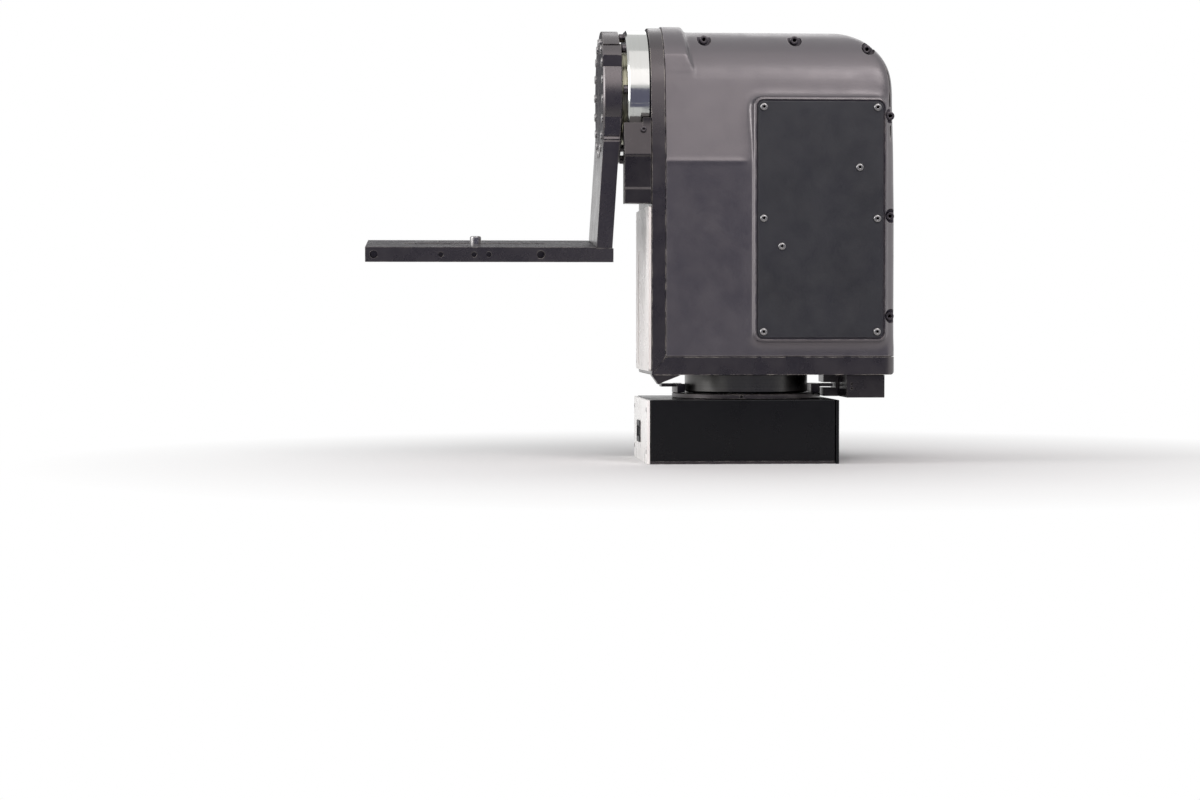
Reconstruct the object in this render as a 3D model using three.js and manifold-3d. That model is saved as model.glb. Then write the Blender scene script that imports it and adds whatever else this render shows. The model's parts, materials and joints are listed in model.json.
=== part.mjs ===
import * as THREE from 'three';
import Module from 'manifold-3d';
import { mergeVertices } from 'three/addons/utils/BufferGeometryUtils.js';

// Remote pan tilt head. Millimetres, +Z up. The origin is on the pan axis, on the underside of
// the base plate. +X points to the side away from the camera bracket, -Y to the access plate.

const wasm = await Module();
wasm.setup();

// Fits
const seatGap = 0.3; // between faces that rest on each other
const turnGap = 0.6; // between faces that turn past each other
const overrun = 2; // of every cut past the face it starts from

// Base box
const baseLeft = 88;
const baseRight = 68;
const baseDepth = 132;
const baseHeight = 52;
const baseWall = 4;
const baseDeck = 5;
const baseEdge = 2;
const basePanel = 2.5;
const skirtDrop = 2.6;
const basePlate = 8;
const basePlateSetback = 3;
const boltRadius = 4.2;
const boltCircle = 34;
const boltCount = 4;

// Inlet on the left of the base
const inletY = 12;
const inletZ = 24;
const inletWidth = 22;
const inletHeight = 12;
const inletLength = 15;
const inletFlange = 3;
const inletFlangeWall = 0.8;
const inletRecess = 8;
const inletWall = 1.5;

// Pan bearing, spindle and drum
const flangeRadius = 61.5;
const flangeHeight = 4;
const hubRadius = 42.4;
const hubDepth = 16;
const panLip = 4;
const raceOuter = 36;
const raceInner = 24.3;
const raceWall = 5.4;
const raceHeight = 12;
const spindleRadius = 24;
const spindleBore = 12;
const spindleShoulder = 27;
const drumRadius = 50.9;
const drumChamfer = 0.8;
const neckHeight = 20.1;

// Pan drive in the base
const pulleyClearance = 2.5;
const pulleyWidth = 10;
const pulleyRim = 1;
const rimLip = 3;
const beltWall = 2;
const panPulleyRadius = 46;
const panPinionRadius = 9.2;
const panMotorRadius = 14;
const panMotorY = -24;
const motorWallGap = 1.2;
const motorBoss = 6;
const motorBossHeight = 2;
const motorShaft = 2.5;
const motorShaftLength = 12;

// Slip ring
const slipRingRadius = 11.7;
const slipRingBore = 4.6;
const slipRingBoreDepth = 28;
const slipStemRadius = 4;
const slipFootRadius = 9;
const slipFootHeight = 5;
const slipStemLength = 30;

// Pan limit flags on the flange and the sensor that reads them
const flagWall = 6.9;
const flagHeight = 7.2;
const flagSpanDeg = 34;
const flagLip = 10.5;
const flagLipWall = 2.5;
const flagLipSpanDeg = 16;
const forkInner = 62.9;
const forkDepth = 12.1;
const forkWidth = 28;
const forkSlot = 4.6;
const forkSlotDepth = 10.4;
const sensorRight = 106;
const sensorFront = 60;
const sensorRear = 20;
const sensorClearance = 1.4;

// Pointer under the front left corner
const pointerDrop = 7.4;
const pointerTip = 4;
const pointerOffset = 5.6;
const pointerSpan = 23.3;
const pointerWidth = 16;

// Head frame
const headLeft = 84.2;
const headRight = 114.2;
const headDepth = 132;
const floorPlate = 14.4;
const sidePlate = 11.3;
const footCorner = 4;
const planCorner = 10;
const creaseRise = 171.9;
const tiltRise = 226.9;
const framePlateRadius = 56.7;

// Covers
const coverWall = 3;
const coverRadius = 54.7;
const collarRadius = 59.1;
const collarWidth = 14;
const collarBlend = 7;
const coverCorner = 47;
const sealWall = 1;

// Access plate and its pad
const padProud = 4;
const padLeft = 1.5;
const padRight = 106;
const padRise = 26.8;
const padHeight = 196;
const padRound = 7;
const padBevel = 3.6;
const padRoot = 15;
const plateRim = 1.8;
const plateRound = 5;
const plateWall = 2;
const plateSink = 0.3;
const openingInset = 12;
const wallReach = 25;

// Cap screws that hold the covers together
const capHead = 3.5;
const capHeadHeight = 4;
const capShank = 2;
const capSocket = 1.5;
const capSocketDepth = 2.2;
const capPocket = 5.8;
const capBoss = 7.6;
const capReach = 12;
const topScrewSeat = 25;
const topScrewDrop = 8.6;
const topScrewLeftX = 38.5;
const topScrewMidX = 36;
const cornerScrewX = 95.8;
const cornerScrewDrop = 15.6;
const sideScrewSeat = 54;
const sideScrewInset = 4;
const sideScrewRise = 47.4;
const sideScrewPitch = 81;

// Button screws of the access plate, measured from the plate's lower left corner
const buttonHead = 2.9;
const buttonHeadHeight = 1.6;
const buttonShank = 1.5;
const buttonSocket = 1;
const buttonLength = 8;
const buttonInset = 5.6;
const screwChamferShare = 0.2;
const innerScrewA = [83.3, 138];
const innerScrewB = [20.3, 74.3];
const middleScrewRise = 96.8;

// Panel on the left side of the head
const sidePanelWall = 2;
const sidePanelInset = 1;
const sidePanelFoot = 3;
const sidePanelBlockGap = 1.9;
const sidePanelRound = 3;

// Tilt ring, block and bearing
const ringRadius = 55.7;
const ringWidth = 18;
const ringLipWidth = 4.5;
const ringLipBore = 32;
const blockWidth = 21.5;
const blockProud = 1;
const blockThickness = 17.5;
const blockDrop = 89;
const blockTopDrop = 24;
const blockCreaseDrop = 51;
const blockLean = 5.5;
const tiltShaftBore = 12;
const tiltShaftLength = 51;
const adapterRadius = 40;
const adapterBoss = 27;
const adapterBossHeight = 1.4;
const hubStandOff = 4.1;

// Tilt drive in the head
const tiltPulleyRadius = 36;
const tiltPinionRadius = 9;
const tiltPulleyInset = 9;
const tiltMotorDrop = 149;
const tiltMotorRadius = 26;
const tiltMotorLength = 92;
const tiltMotorBoss = 12;
const tiltMotorShaft = 4;
const tiltMotorShaftLength = 20;
const bracketWall = 5;
const bracketHalfWidth = 35;
const bracketFootLength = 34;
const bracketPulleyGap = 3;
const bracketHeadroom = 12;

// Camera bracket, measured from the tilt axis with the bracket level
const restTiltDeg = 4.7;
const armHubRadius = 55;
const armHubWidth = 15.6;
const armHalfWidth = 53;
const armWall = 12.9;
const armRakeShare = 0.0602;
const armTopDrop = 12;
const armInset = 2.3;
const plateTopDrop = 119.7;
const cameraPlateWall = 12.2;
const cameraPlateLength = 201;
const cameraPlateProud = 0.9;
const cameraPlateChamfer = 1.4;
const armRebate = 1;
const notchLow = 25.8;
const notchHigh = 33.9;
const notchDepth = 6.5;
const slotLength = 120;
const slotWidth = 10.5;
const slotCentre = 90;
const slotCounterWidth = 16;
const slotCounterDepth = 6.5;
const edgeHoleRadius = 3.2;
const edgeHoleDepth = 12;
const edgeHoleInset = 7;
const edgeHolePitch = 135;
const cameraScrewRadius = 4.7;
const cameraScrewHead = 7;
const cameraScrewHeadHeight = 5;
const cameraScrewReach = 6;

// Boards inside the head
const trayWall = 2;
const trayInset = 14;
const trayLeft = 5;
const trayRight = 99;
const trayHeight = 170;
const trayFoot = 24;
const boardWall = 1.6;
const boardMargin = 6;
const boardFootGap = 12;
const standoffRadius = 2.6;
const standoffLength = 4;

// Connector panel on the rear cover
const rearPanelLeft = 14;
const rearPanelRight = 94;
const rearPanelRise = 33;
const rearPanelHeight = 70;
const rearPanelWall = 2;
const rearPanelRound = 4;
const rearPanelLap = 8;

// Number of facets of a full turn
const fine = 36;
const medium = 20;
const coarse = 12;

// Number of steps of the round top of a side profile, and of a belt's larger bend
const profileSteps = 16;
const beltSteps = 30;

// Levels and places that follow from the sizes above
const headFloorZ = baseHeight + neckHeight;
const floorTopZ = headFloorZ + floorPlate;
const creaseZ = headFloorZ + creaseRise;
const tiltZ = headFloorZ + tiltRise;
const halfDepth = headDepth / 2;
const coverLeftX = -headLeft + sidePlate + seatGap;
const coverFloorZ = floorTopZ + seatGap;
const coverTopZ = tiltZ + coverRadius;
const boxLeftX = -baseLeft + basePanel + seatGap;
const boxRightX = baseRight - basePanel - seatGap;
const panMotorX = boxLeftX + baseWall + motorWallGap + panMotorRadius;
const panMotorPlace = [panMotorX, panMotorY, 0];
const pulleyBottomZ = basePlate + pulleyClearance;
const pulleyTopZ = pulleyBottomZ + pulleyWidth;
const raceBottomZ = baseHeight - raceHeight;
const raceSplit = raceOuter - raceWall;
const flangeTopZ = baseHeight + seatGap + flangeHeight;
const drumBottomZ = flangeTopZ + turnGap;
const drumTopZ = headFloorZ - seatGap;
const ringRightX = -headLeft - seatGap;
const ringLeftX = ringRightX - ringWidth;
const hubRightX = ringLeftX - hubStandOff;
const hubLeftX = hubRightX - armHubWidth;
const padLowZ = headFloorZ + padRise;
const plateLeftX = -padLeft + plateRim;
const plateLowZ = padLowZ + plateRim + turnGap;
const plateWidth = padRight + padLeft - 2 * plateRim - turnGap;
const plateHeight = padHeight - 2 * plateRim - turnGap;
const padFrontY = -halfDepth - padProud;
const plateFrontY = padFrontY + plateSink;
const coverBackY = sealWall / 2 + seatGap;
const rearPanelLowZ = headFloorZ + rearPanelRise;
const tiltMotorZ = tiltZ - tiltMotorDrop;
const collarTopZ = tiltZ + collarRadius + overrun;

// Turns a closed geometry into a solid whose faces point out
function solid(geometry) {
  const bare = geometry.index ? geometry.toNonIndexed() : geometry.clone();
  bare.deleteAttribute('normal');
  bare.deleteAttribute('uv');
  const merged = mergeVertices(bare);
  const places = merged.attributes.position.array;
  const kept = [];
  let volume = 0;
  for (let i = 0; i < merged.index.count; i += 3) {
    const corner = [0, 1, 2].map((k) => merged.index.getX(i + k));
    if (corner[0] === corner[1] || corner[1] === corner[2] || corner[2] === corner[0]) continue;
    kept.push(corner);
    const [a, b, c] = corner.map((v) => new THREE.Vector3().fromArray(places, 3 * v));
    volume += a.dot(b.cross(c));
  }
  if (volume < 0) kept.forEach((corner) => corner.reverse());
  const triVerts = Uint32Array.from(kept.flat());
  return new wasm.Manifold(new wasm.Mesh({ numProp: 3, vertProperties: places, triVerts }));
}

// Back from a solid to a geometry for a mesh
function geometryOf(manifold) {
  const mesh = manifold.getMesh();
  const geometry = new THREE.BufferGeometry();
  geometry.setAttribute('position', new THREE.Float32BufferAttribute(mesh.vertProperties, 3));
  geometry.setIndex(new THREE.Uint32BufferAttribute(mesh.triVerts, 1));
  geometry.computeVertexNormals();
  return geometry;
}

// Block between two corners
function block(x0, x1, y0, y1, z0, z1) {
  const geometry = new THREE.BoxGeometry(x1 - x0, y1 - y0, z1 - z0);
  geometry.translate((x0 + x1) / 2, (y0 + y1) / 2, (z0 + z1) / 2);
  return solid(geometry);
}

// Matrices that lay a shape's plane, and the way it is extruded, along the model's axes
const alongX = new THREE.Matrix4().set(0, 0, 1, 0, 1, 0, 0, 0, 0, 1, 0, 0, 0, 0, 0, 1);
const alongY = new THREE.Matrix4().set(1, 0, 0, 0, 0, 0, -1, 0, 0, 1, 0, 0, 0, 0, 0, 1);

function extruded(points, depth) {
  const shape = new THREE.Shape(points.map(([u, v]) => new THREE.Vector2(u, v)));
  return new THREE.ExtrudeGeometry(shape, { depth, bevelEnabled: false, steps: 1 });
}

// Outline [y, z] extruded from x0 to x1
function prismX(points, x0, x1) {
  return solid(extruded(points, x1 - x0).applyMatrix4(alongX).translate(x0, 0, 0));
}

// Outline [x, z] extruded from y0 to y1
function prismY(points, y0, y1) {
  return solid(extruded(points, y1 - y0).applyMatrix4(alongY).translate(0, y1, 0));
}

// Outline [x, y] extruded from z0 to z1
function prismZ(points, z0, z1) {
  return solid(extruded(points, z1 - z0).translate(0, 0, z0));
}

// Solid of revolution. The profile is [radius, place along the axis]
function turned(axis, profile, facets, centre = [0, 0, 0]) {
  const points = [...profile, profile[0]].map(([r, along]) => new THREE.Vector2(r, along));
  const geometry = new THREE.LatheGeometry(points, facets);
  if (axis === 'x') geometry.rotateZ(-Math.PI / 2);
  if (axis === 'z') geometry.rotateX(Math.PI / 2);
  return solid(geometry.translate(...centre));
}

function rod(axis, radius, from, to, facets, centre) {
  return turned(axis, [[0, from], [radius, from], [radius, to], [0, to]], facets, centre);
}

function collar(axis, inner, outer, from, to, facets, centre) {
  return turned(axis, [[inner, from], [outer, from], [outer, to], [inner, to]], facets, centre);
}

// Points of an arc, angles in degrees
function arc(cx, cy, radius, fromDeg, toDeg, steps) {
  return Array.from({ length: steps + 1 }, (_, i) => {
    const angle = THREE.MathUtils.degToRad(fromDeg + ((toDeg - fromDeg) * i) / steps);
    return [cx + radius * Math.cos(angle), cy + radius * Math.sin(angle)];
  });
}

function roundedRectangle(x0, x1, y0, y1, radius, steps = 4) {
  return [
    ...arc(x1 - radius, y0 + radius, radius, -90, 0, steps),
    ...arc(x1 - radius, y1 - radius, radius, 0, 90, steps),
    ...arc(x0 + radius, y1 - radius, radius, 90, 180, steps),
    ...arc(x0 + radius, y0 + radius, radius, 180, 270, steps),
  ];
}

// Side profile [y, z]: upright faces, a lean above the crease and a round top on the tilt axis
function sideProfile(depth, floorZ, radius, steps) {
  const rise = tiltZ - creaseZ;
  const reach = Math.hypot(depth, rise);
  const lean = THREE.MathUtils.radToDeg(Math.atan2(rise, depth) + Math.asin(radius / reach));
  const top = arc(0, tiltZ, radius, 90 - lean, 90 + lean, steps);
  return [[-depth, floorZ], [depth, floorZ], [depth, creaseZ], ...top, [-depth, creaseZ]];
}

// Solid through equal outlines [y, z] that stand at given places along X
function loftX(sections) {
  const count = sections[0].outline.length;
  const places = sections.flatMap(({ x, outline }) => outline.flatMap(([y, z]) => [x, y, z]));
  const faces = [];
  for (let s = 0; s + 1 < sections.length; s += 1) {
    for (let i = 0; i < count; i += 1) {
      const a = s * count + i;
      const b = s * count + ((i + 1) % count);
      faces.push([a, a + count, b], [b, a + count, b + count]);
    }
  }
  const flat = sections[0].outline.map(([y, z]) => new THREE.Vector2(y, z));
  const last = (sections.length - 1) * count;
  THREE.ShapeUtils.triangulateShape(flat, []).forEach(([a, b, c]) => {
    faces.push([a, b, c], [last + a, last + c, last + b]);
  });
  const geometry = new THREE.BufferGeometry();
  geometry.setAttribute('position', new THREE.Float32BufferAttribute(places, 3));
  geometry.setIndex(faces.flat());
  return solid(geometry);
}

// Outline [u, v] of a belt round two pulleys on the v axis or the u axis
function beltOutline(c1, r1, c2, r2) {
  const direction = Math.atan2(c2[1] - c1[1], c2[0] - c1[0]);
  const distance = Math.hypot(c2[0] - c1[0], c2[1] - c1[1]);
  const spread = Math.acos((r1 - r2) / distance);
  const degrees = (angle) => THREE.MathUtils.radToDeg(angle);
  const start = degrees(direction + spread);
  const end = degrees(direction - spread);
  return [
    ...arc(c1[0], c1[1], r1, start, end + 360, beltSteps),
    ...arc(c2[0], c2[1], r2, end, start, beltSteps / 2),
  ];
}

// Grooved pulley from one face to the other, with a bore
function pulley(axis, radius, bore, from, facets, centre) {
  const lip = radius + rimLip;
  const to = from + pulleyWidth;
  return turned(axis, [
    [bore, from], [lip, from], [lip, from + pulleyRim], [radius, from + pulleyRim],
    [radius, to - pulleyRim], [lip, to - pulleyRim], [lip, to], [bore, to],
  ], facets, centre);
}

function belt(prism, c1, r1, c2, r2, from) {
  const start = from + pulleyRim + turnGap;
  const end = from + pulleyWidth - pulleyRim - turnGap;
  const outer = [r1 + turnGap + beltWall, r2 + turnGap + beltWall];
  const inner = [r1 + turnGap, r2 + turnGap];
  const hollow = prism(beltOutline(c1, inner[0], c2, inner[1]), start - overrun, end + overrun);
  return prism(beltOutline(c1, outer[0], c2, outer[1]), start, end).subtract(hollow);
}

// Base

function makeBasePlate() {
  const left = boxLeftX + seatGap;
  const right = boxRightX - seatGap;
  const front = baseDepth / 2 - basePlateSetback;
  const inner = baseDepth / 2 - baseWall - seatGap;
  const raised = block(left + baseWall, right - baseWall, -inner, inner, seatGap, basePlate);
  let plate = block(left, right, -front, front, 0, skirtDrop - seatGap).add(raised);
  for (let i = 0; i < boltCount; i += 1) {
    const angle = ((i + 0.5) / boltCount) * 2 * Math.PI;
    const centre = [boltCircle * Math.cos(angle), boltCircle * Math.sin(angle), 0];
    plate = plate.subtract(rod('z', boltRadius, -overrun, basePlate + overrun, coarse, centre));
  }
  return plate;
}

// Opening through the left wall and panel for the inlet
function inletCut() {
  const halfWidth = inletWidth / 2 + seatGap;
  const halfHeight = inletHeight / 2 + seatGap;
  return block(
    -baseLeft - overrun, boxLeftX + baseWall + overrun,
    inletY - halfWidth, inletY + halfWidth, inletZ - halfHeight, inletZ + halfHeight,
  );
}

function makeBaseHousing() {
  const front = baseDepth / 2;
  const plan = roundedRectangle(boxLeftX, boxRightX, -front, front, baseEdge);
  const outer = prismZ(plan, skirtDrop, baseHeight);
  const inner = block(
    boxLeftX + baseWall, boxRightX - baseWall, -front + baseWall, front - baseWall,
    skirtDrop - overrun, baseHeight - baseDeck,
  );
  const bore = rod('z', hubRadius + seatGap, baseHeight - baseDeck - overrun, baseHeight + overrun, fine);
  return outer.subtract(inner).subtract(bore).subtract(inletCut());
}

function makeBasePanel(x0) {
  const front = baseDepth / 2;
  return block(x0, x0 + basePanel, -front, front, 0, baseHeight - seatGap);
}

function makeInlet() {
  const faceX = -baseLeft - seatGap;
  const halfWidth = inletWidth / 2;
  const halfHeight = inletHeight / 2;
  const body = block(
    faceX - inletFlangeWall, faceX + inletLength,
    inletY - halfWidth, inletY + halfWidth, inletZ - halfHeight, inletZ + halfHeight,
  );
  const flange = block(
    faceX - inletFlangeWall, faceX,
    inletY - halfWidth - inletFlange, inletY + halfWidth + inletFlange,
    inletZ - halfHeight - inletFlange, inletZ + halfHeight + inletFlange,
  );
  const recess = block(
    faceX - inletFlangeWall - overrun, faceX + inletRecess,
    inletY - halfWidth + inletWall, inletY + halfWidth - inletWall,
    inletZ - halfHeight + inletWall, inletZ + halfHeight - inletWall,
  );
  return body.add(flange).subtract(recess);
}

function makePanFlange() {
  const hubBottomZ = baseHeight - hubDepth;
  const seatZ = raceBottomZ - seatGap;
  const underZ = baseHeight + seatGap;
  return turned('z', [
    [raceOuter - panLip, hubBottomZ], [hubRadius, hubBottomZ], [hubRadius, underZ],
    [flangeRadius, underZ], [flangeRadius, flangeTopZ], [raceOuter + seatGap, flangeTopZ],
    [raceOuter + seatGap, seatZ], [raceOuter - panLip, seatZ],
  ], fine);
}

function makePanRace(inner, outer) {
  return collar('z', inner, outer, raceBottomZ, baseHeight, fine);
}

// Upright arc on the flange with a lip that turns outwards at its top
function makeLimitFlag(centreDeg) {
  const bottom = flangeTopZ + seatGap;
  const top = bottom + flagHeight;
  const sector = (inner, outer, spanDeg) => [
    ...arc(0, 0, outer, centreDeg - spanDeg / 2, centreDeg + spanDeg / 2, 6),
    ...arc(0, 0, inner, centreDeg + spanDeg / 2, centreDeg - spanDeg / 2, 6),
  ];
  const post = prismZ(sector(flangeRadius - flagWall, flangeRadius, flagSpanDeg), bottom, top);
  const lipInner = flangeRadius - flagWall / 2;
  const lipOutline = sector(lipInner, flangeRadius + flagLip, flagLipSpanDeg);
  const lip = prismZ(lipOutline, top - flagLipWall, top);
  return post.add(lip);
}

function makePanMotor() {
  const bottom = pulleyTopZ + pulleyClearance;
  const low = bottom - motorBossHeight;
  const boreEnd = pulleyTopZ + motorShaftLength + turnGap;
  const body = rod('z', panMotorRadius, bottom, baseHeight - baseDeck - seatGap, medium, panMotorPlace);
  const boss = rod('z', motorBoss, low, bottom + overrun, coarse, panMotorPlace);
  const bore = rod('z', motorShaft + turnGap, low - overrun, boreEnd, coarse, panMotorPlace);
  return body.add(boss).subtract(bore);
}

function makePanPinion() {
  const shaft = rod('z', motorShaft, pulleyBottomZ, pulleyTopZ + motorShaftLength, coarse, panMotorPlace);
  const wheel = pulley('z', panPinionRadius, motorShaft / 2, pulleyBottomZ, medium, panMotorPlace);
  return wheel.add(shaft);
}

function makePanBelt() {
  const centre = [panMotorX, panMotorY];
  return belt(prismZ, [0, 0], panPulleyRadius, centre, panPinionRadius, pulleyBottomZ);
}

function makeSlipStator() {
  const bottom = basePlate + seatGap;
  const foot = rod('z', slipFootRadius, bottom, bottom + slipFootHeight, medium);
  return foot.add(rod('z', slipStemRadius, bottom, bottom + slipFootHeight + slipStemLength, coarse));
}

// Head, lower end

function makeSpindle() {
  const bottom = pulleyBottomZ - turnGap;
  const top = floorTopZ - seatGap;
  const shoulderZ = baseHeight + seatGap;
  return turned('z', [
    [spindleBore, bottom], [spindleRadius, bottom], [spindleRadius, shoulderZ],
    [spindleShoulder, shoulderZ], [spindleShoulder, drumTopZ], [spindleRadius, drumTopZ],
    [spindleRadius, top], [spindleBore, top],
  ], fine);
}

function makeDrum() {
  const inner = spindleShoulder + seatGap;
  return turned('z', [
    [inner, drumBottomZ], [drumRadius - drumChamfer, drumBottomZ],
    [drumRadius, drumBottomZ + drumChamfer], [drumRadius, drumTopZ], [inner, drumTopZ],
  ], fine);
}

function makeSlipRotor() {
  const bottom = pulleyTopZ;
  const top = floorTopZ - 2 * seatGap;
  const bore = rod('z', slipRingBore, bottom - overrun, bottom + slipRingBoreDepth, coarse);
  return rod('z', slipRingRadius, bottom, top, medium).subtract(bore);
}

// Plan of the head with its right corners rounded, [x, y]
function headPlan(x0, inset) {
  const right = headRight - inset;
  const front = halfDepth + padProud + overrun;
  const centre = halfDepth - planCorner;
  const radius = planCorner - inset;
  return [
    [x0, -front], [right - radius - padProud, -front],
    ...arc(right - radius, -centre, radius, -90, 0, 5),
    ...arc(right - radius, centre, radius, 0, 90, 5),
    [right - radius - padProud, front], [x0, front],
  ];
}

function makeFloorPlate() {
  const outline = [
    [-headLeft + seatGap, headFloorZ],
    ...arc(headRight - footCorner, headFloorZ + footCorner, footCorner, -90, 0, 3),
    [headRight, floorTopZ], [-headLeft + sidePlate + seatGap, floorTopZ],
  ];
  const plate = prismY(outline, -halfDepth, halfDepth);
  const plan = prismZ(headPlan(-headLeft, 0), headFloorZ - overrun, floorTopZ + overrun);
  const bore = rod('z', spindleRadius + seatGap, headFloorZ - overrun, floorTopZ + overrun, fine);
  return plate.intersect(plan).subtract(bore);
}

function makeSidePlate() {
  const right = sidePlate - headLeft;
  const profile = sideProfile(halfDepth, headFloorZ, framePlateRadius, profileSteps);
  const plate = prismX(profile, -headLeft, right);
  const mitre = prismY([
    [-headLeft, headFloorZ], [-headLeft, headFloorZ - overrun], [right + overrun, headFloorZ - overrun],
    [right + overrun, floorTopZ + (overrun * floorPlate) / sidePlate],
  ], -halfDepth - overrun, halfDepth + overrun);
  const bore = rod(
    'x', spindleRadius + turnGap, -headLeft - overrun, right + overrun, fine, [0, 0, tiltZ],
  );
  return plate.subtract(mitre).subtract(bore);
}

function makeSensorBlock() {
  const top = headFloorZ - seatGap;
  const bottom = baseHeight + sensorClearance;
  const half = forkWidth / 2;
  const root = forkInner + forkDepth;
  const outline = [
    [forkInner, -half], [root, -half], [root, -sensorFront], [sensorRight, -sensorFront],
    [sensorRight, sensorRear], [root, sensorRear], [root, half], [forkInner, half],
  ];
  const slotMid = flangeTopZ + seatGap + flagHeight - flagLipWall / 2;
  const slot = block(
    forkInner - overrun, forkInner + forkSlotDepth, -half - overrun, half + overrun,
    slotMid - forkSlot / 2, slotMid + forkSlot / 2,
  );
  return prismZ(outline, bottom, top).subtract(slot);
}

function makePointer() {
  const top = headFloorZ - seatGap;
  const outline = [
    [-headLeft + seatGap, top], [-headLeft + pointerOffset, top - pointerDrop],
    [-headLeft + pointerOffset + pointerTip, top - pointerDrop + pointerTip / 2],
    [-headLeft + pointerSpan, top],
  ];
  return prismY(outline, -halfDepth, -halfDepth + pointerWidth);
}

// Covers

// Outer form of both covers together, or the hollow inside it when inset by the wall
function coverForm(inset, x0, floorZ) {
  const blendEnd = coverLeftX + collarWidth + collarBlend;
  const blendShares = [0, 0.25, 0.5, 0.75, 1];
  const section = (x, radius) => (
    { x, outline: sideProfile(halfDepth - inset, floorZ, radius - inset, profileSteps) }
  );
  const blend = blendShares.map((share) => {
    const ease = share * share * (3 - 2 * share);
    const radius = collarRadius + (coverRadius - collarRadius) * ease;
    return section(blendEnd - collarBlend * (1 - share), radius);
  });
  const form = loftX([section(x0, collarRadius), ...blend, section(headRight, coverRadius)]);
  const right = headRight - inset;
  const corner = coverCorner - inset;
  const cornerZ = coverTopZ - coverCorner;
  const outline = prismY([
    [x0, floorZ], [right, floorZ], ...arc(right - corner, cornerZ, corner, 0, 90, 8),
    [blendEnd, coverTopZ - inset], [coverLeftX, collarTopZ], [x0, collarTopZ],
  ], -halfDepth - overrun, halfDepth + overrun);
  const plan = prismZ(headPlan(x0, inset), floorZ - overrun, collarTopZ);
  return form.intersect(outline).intersect(plan);
}

const topScrewZ = coverTopZ - topScrewDrop;
const sideScrewX = headRight - sideScrewInset;
const capScrewPlaces = [
  { x: -topScrewLeftX, z: topScrewZ, seat: topScrewSeat },
  { x: topScrewMidX, z: topScrewZ, seat: topScrewSeat },
  { x: cornerScrewX, z: coverTopZ - cornerScrewDrop, seat: topScrewSeat },
  ...[2, 1, 0].map((row) => (
    { x: sideScrewX, z: headFloorZ + sideScrewRise + row * sideScrewPitch, seat: sideScrewSeat }
  )),
];

const coverOuter = coverForm(0, coverLeftX, coverFloorZ);
const coverInner = coverForm(coverWall, coverLeftX - overrun, coverFloorZ - overrun);

// Both covers' walls with the bosses that the cap screws run through
function coverShell() {
  let shell = coverOuter.subtract(coverInner);
  capScrewPlaces.forEach(({ x, z, seat }) => {
    const boss = rod('y', capBoss, -seat - capHeadHeight, capReach + coverWall, coarse, [x, 0, z]);
    shell = shell.add(boss.intersect(coverOuter));
  });
  return shell;
}

const shellWithBosses = coverShell();

// A cover with the pockets and holes of the cap screws
function drilled(cover) {
  const far = halfDepth + padProud + overrun;
  const holeEndY = capReach + seatGap;
  return capScrewPlaces.reduce((whole, { x, z, seat }) => whole
    .subtract(rod('y', capPocket, -far, -seat, coarse, [x, 0, z]))
    .subtract(rod('y', capShank + seatGap, -seat - overrun, holeEndY, coarse, [x, 0, z])), cover);
}

// Everything between two places along Y
function slice(y0, y1) {
  return block(coverLeftX - overrun, headRight + overrun, y0, y1, 0, collarTopZ);
}

function accessPlateOutline(margin, radius) {
  return roundedRectangle(
    plateLeftX - margin, plateLeftX + plateWidth + margin,
    plateLowZ - margin, plateLowZ + plateHeight + margin, radius,
  );
}

const buttonPlaces = [
  ...[buttonInset, middleScrewRise, plateHeight - buttonInset].flatMap((rise) => (
    [buttonInset, plateWidth - buttonInset].map((along) => [along, rise])
  )),
  innerScrewA,
  innerScrewB,
].map(([along, rise]) => ({ x: plateLeftX + along, z: plateLowZ + rise }));

function makeFrontCover() {
  const shape = new THREE.Shape(
    roundedRectangle(-padLeft, padRight, padLowZ, padLowZ + padHeight, padRound)
      .map(([x, z]) => new THREE.Vector2(x, z)),
  );
  const padGeometry = new THREE.ExtrudeGeometry(shape, {
    depth: padRoot, bevelEnabled: true, bevelSegments: 1,
    bevelSize: padBevel, bevelThickness: padProud, steps: 1, bevelOffset: 0,
  });
  const pad = solid(padGeometry.applyMatrix4(alongY).translate(0, padRoot - halfDepth, 0));
  let cover = shellWithBosses.add(pad.subtract(coverInner));
  const rebate = accessPlateOutline(seatGap, plateRound + seatGap);
  const opening = accessPlateOutline(-openingInset, plateRound);
  cover = cover.subtract(prismY(rebate, padFrontY - overrun, plateFrontY + plateWall + seatGap));
  cover = cover.subtract(prismY(opening, padFrontY, wallReach - halfDepth));
  const holeRadius = buttonShank + seatGap;
  const holeEndY = plateFrontY + buttonLength;
  buttonPlaces.forEach(({ x, z }) => {
    cover = cover.subtract(rod('y', holeRadius, padFrontY, holeEndY, coarse, [x, 0, z]));
  });
  return drilled(cover).intersect(slice(padFrontY - overrun, -coverBackY));
}

function rearPanelOutline(inset) {
  return roundedRectangle(
    rearPanelLeft + inset, rearPanelRight - inset,
    rearPanelLowZ + inset, rearPanelLowZ + rearPanelHeight - inset, rearPanelRound,
  );
}

function makeRearCover() {
  const window = prismY(rearPanelOutline(rearPanelLap), halfDepth - wallReach, halfDepth + overrun);
  return drilled(shellWithBosses).subtract(window).intersect(slice(coverBackY, halfDepth + overrun));
}

function makeCoverSeal() {
  return drilled(shellWithBosses).intersect(slice(-sealWall / 2, sealWall / 2));
}

function makeRearPanel() {
  return prismY(rearPanelOutline(0), halfDepth + seatGap, halfDepth + seatGap + rearPanelWall);
}

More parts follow.
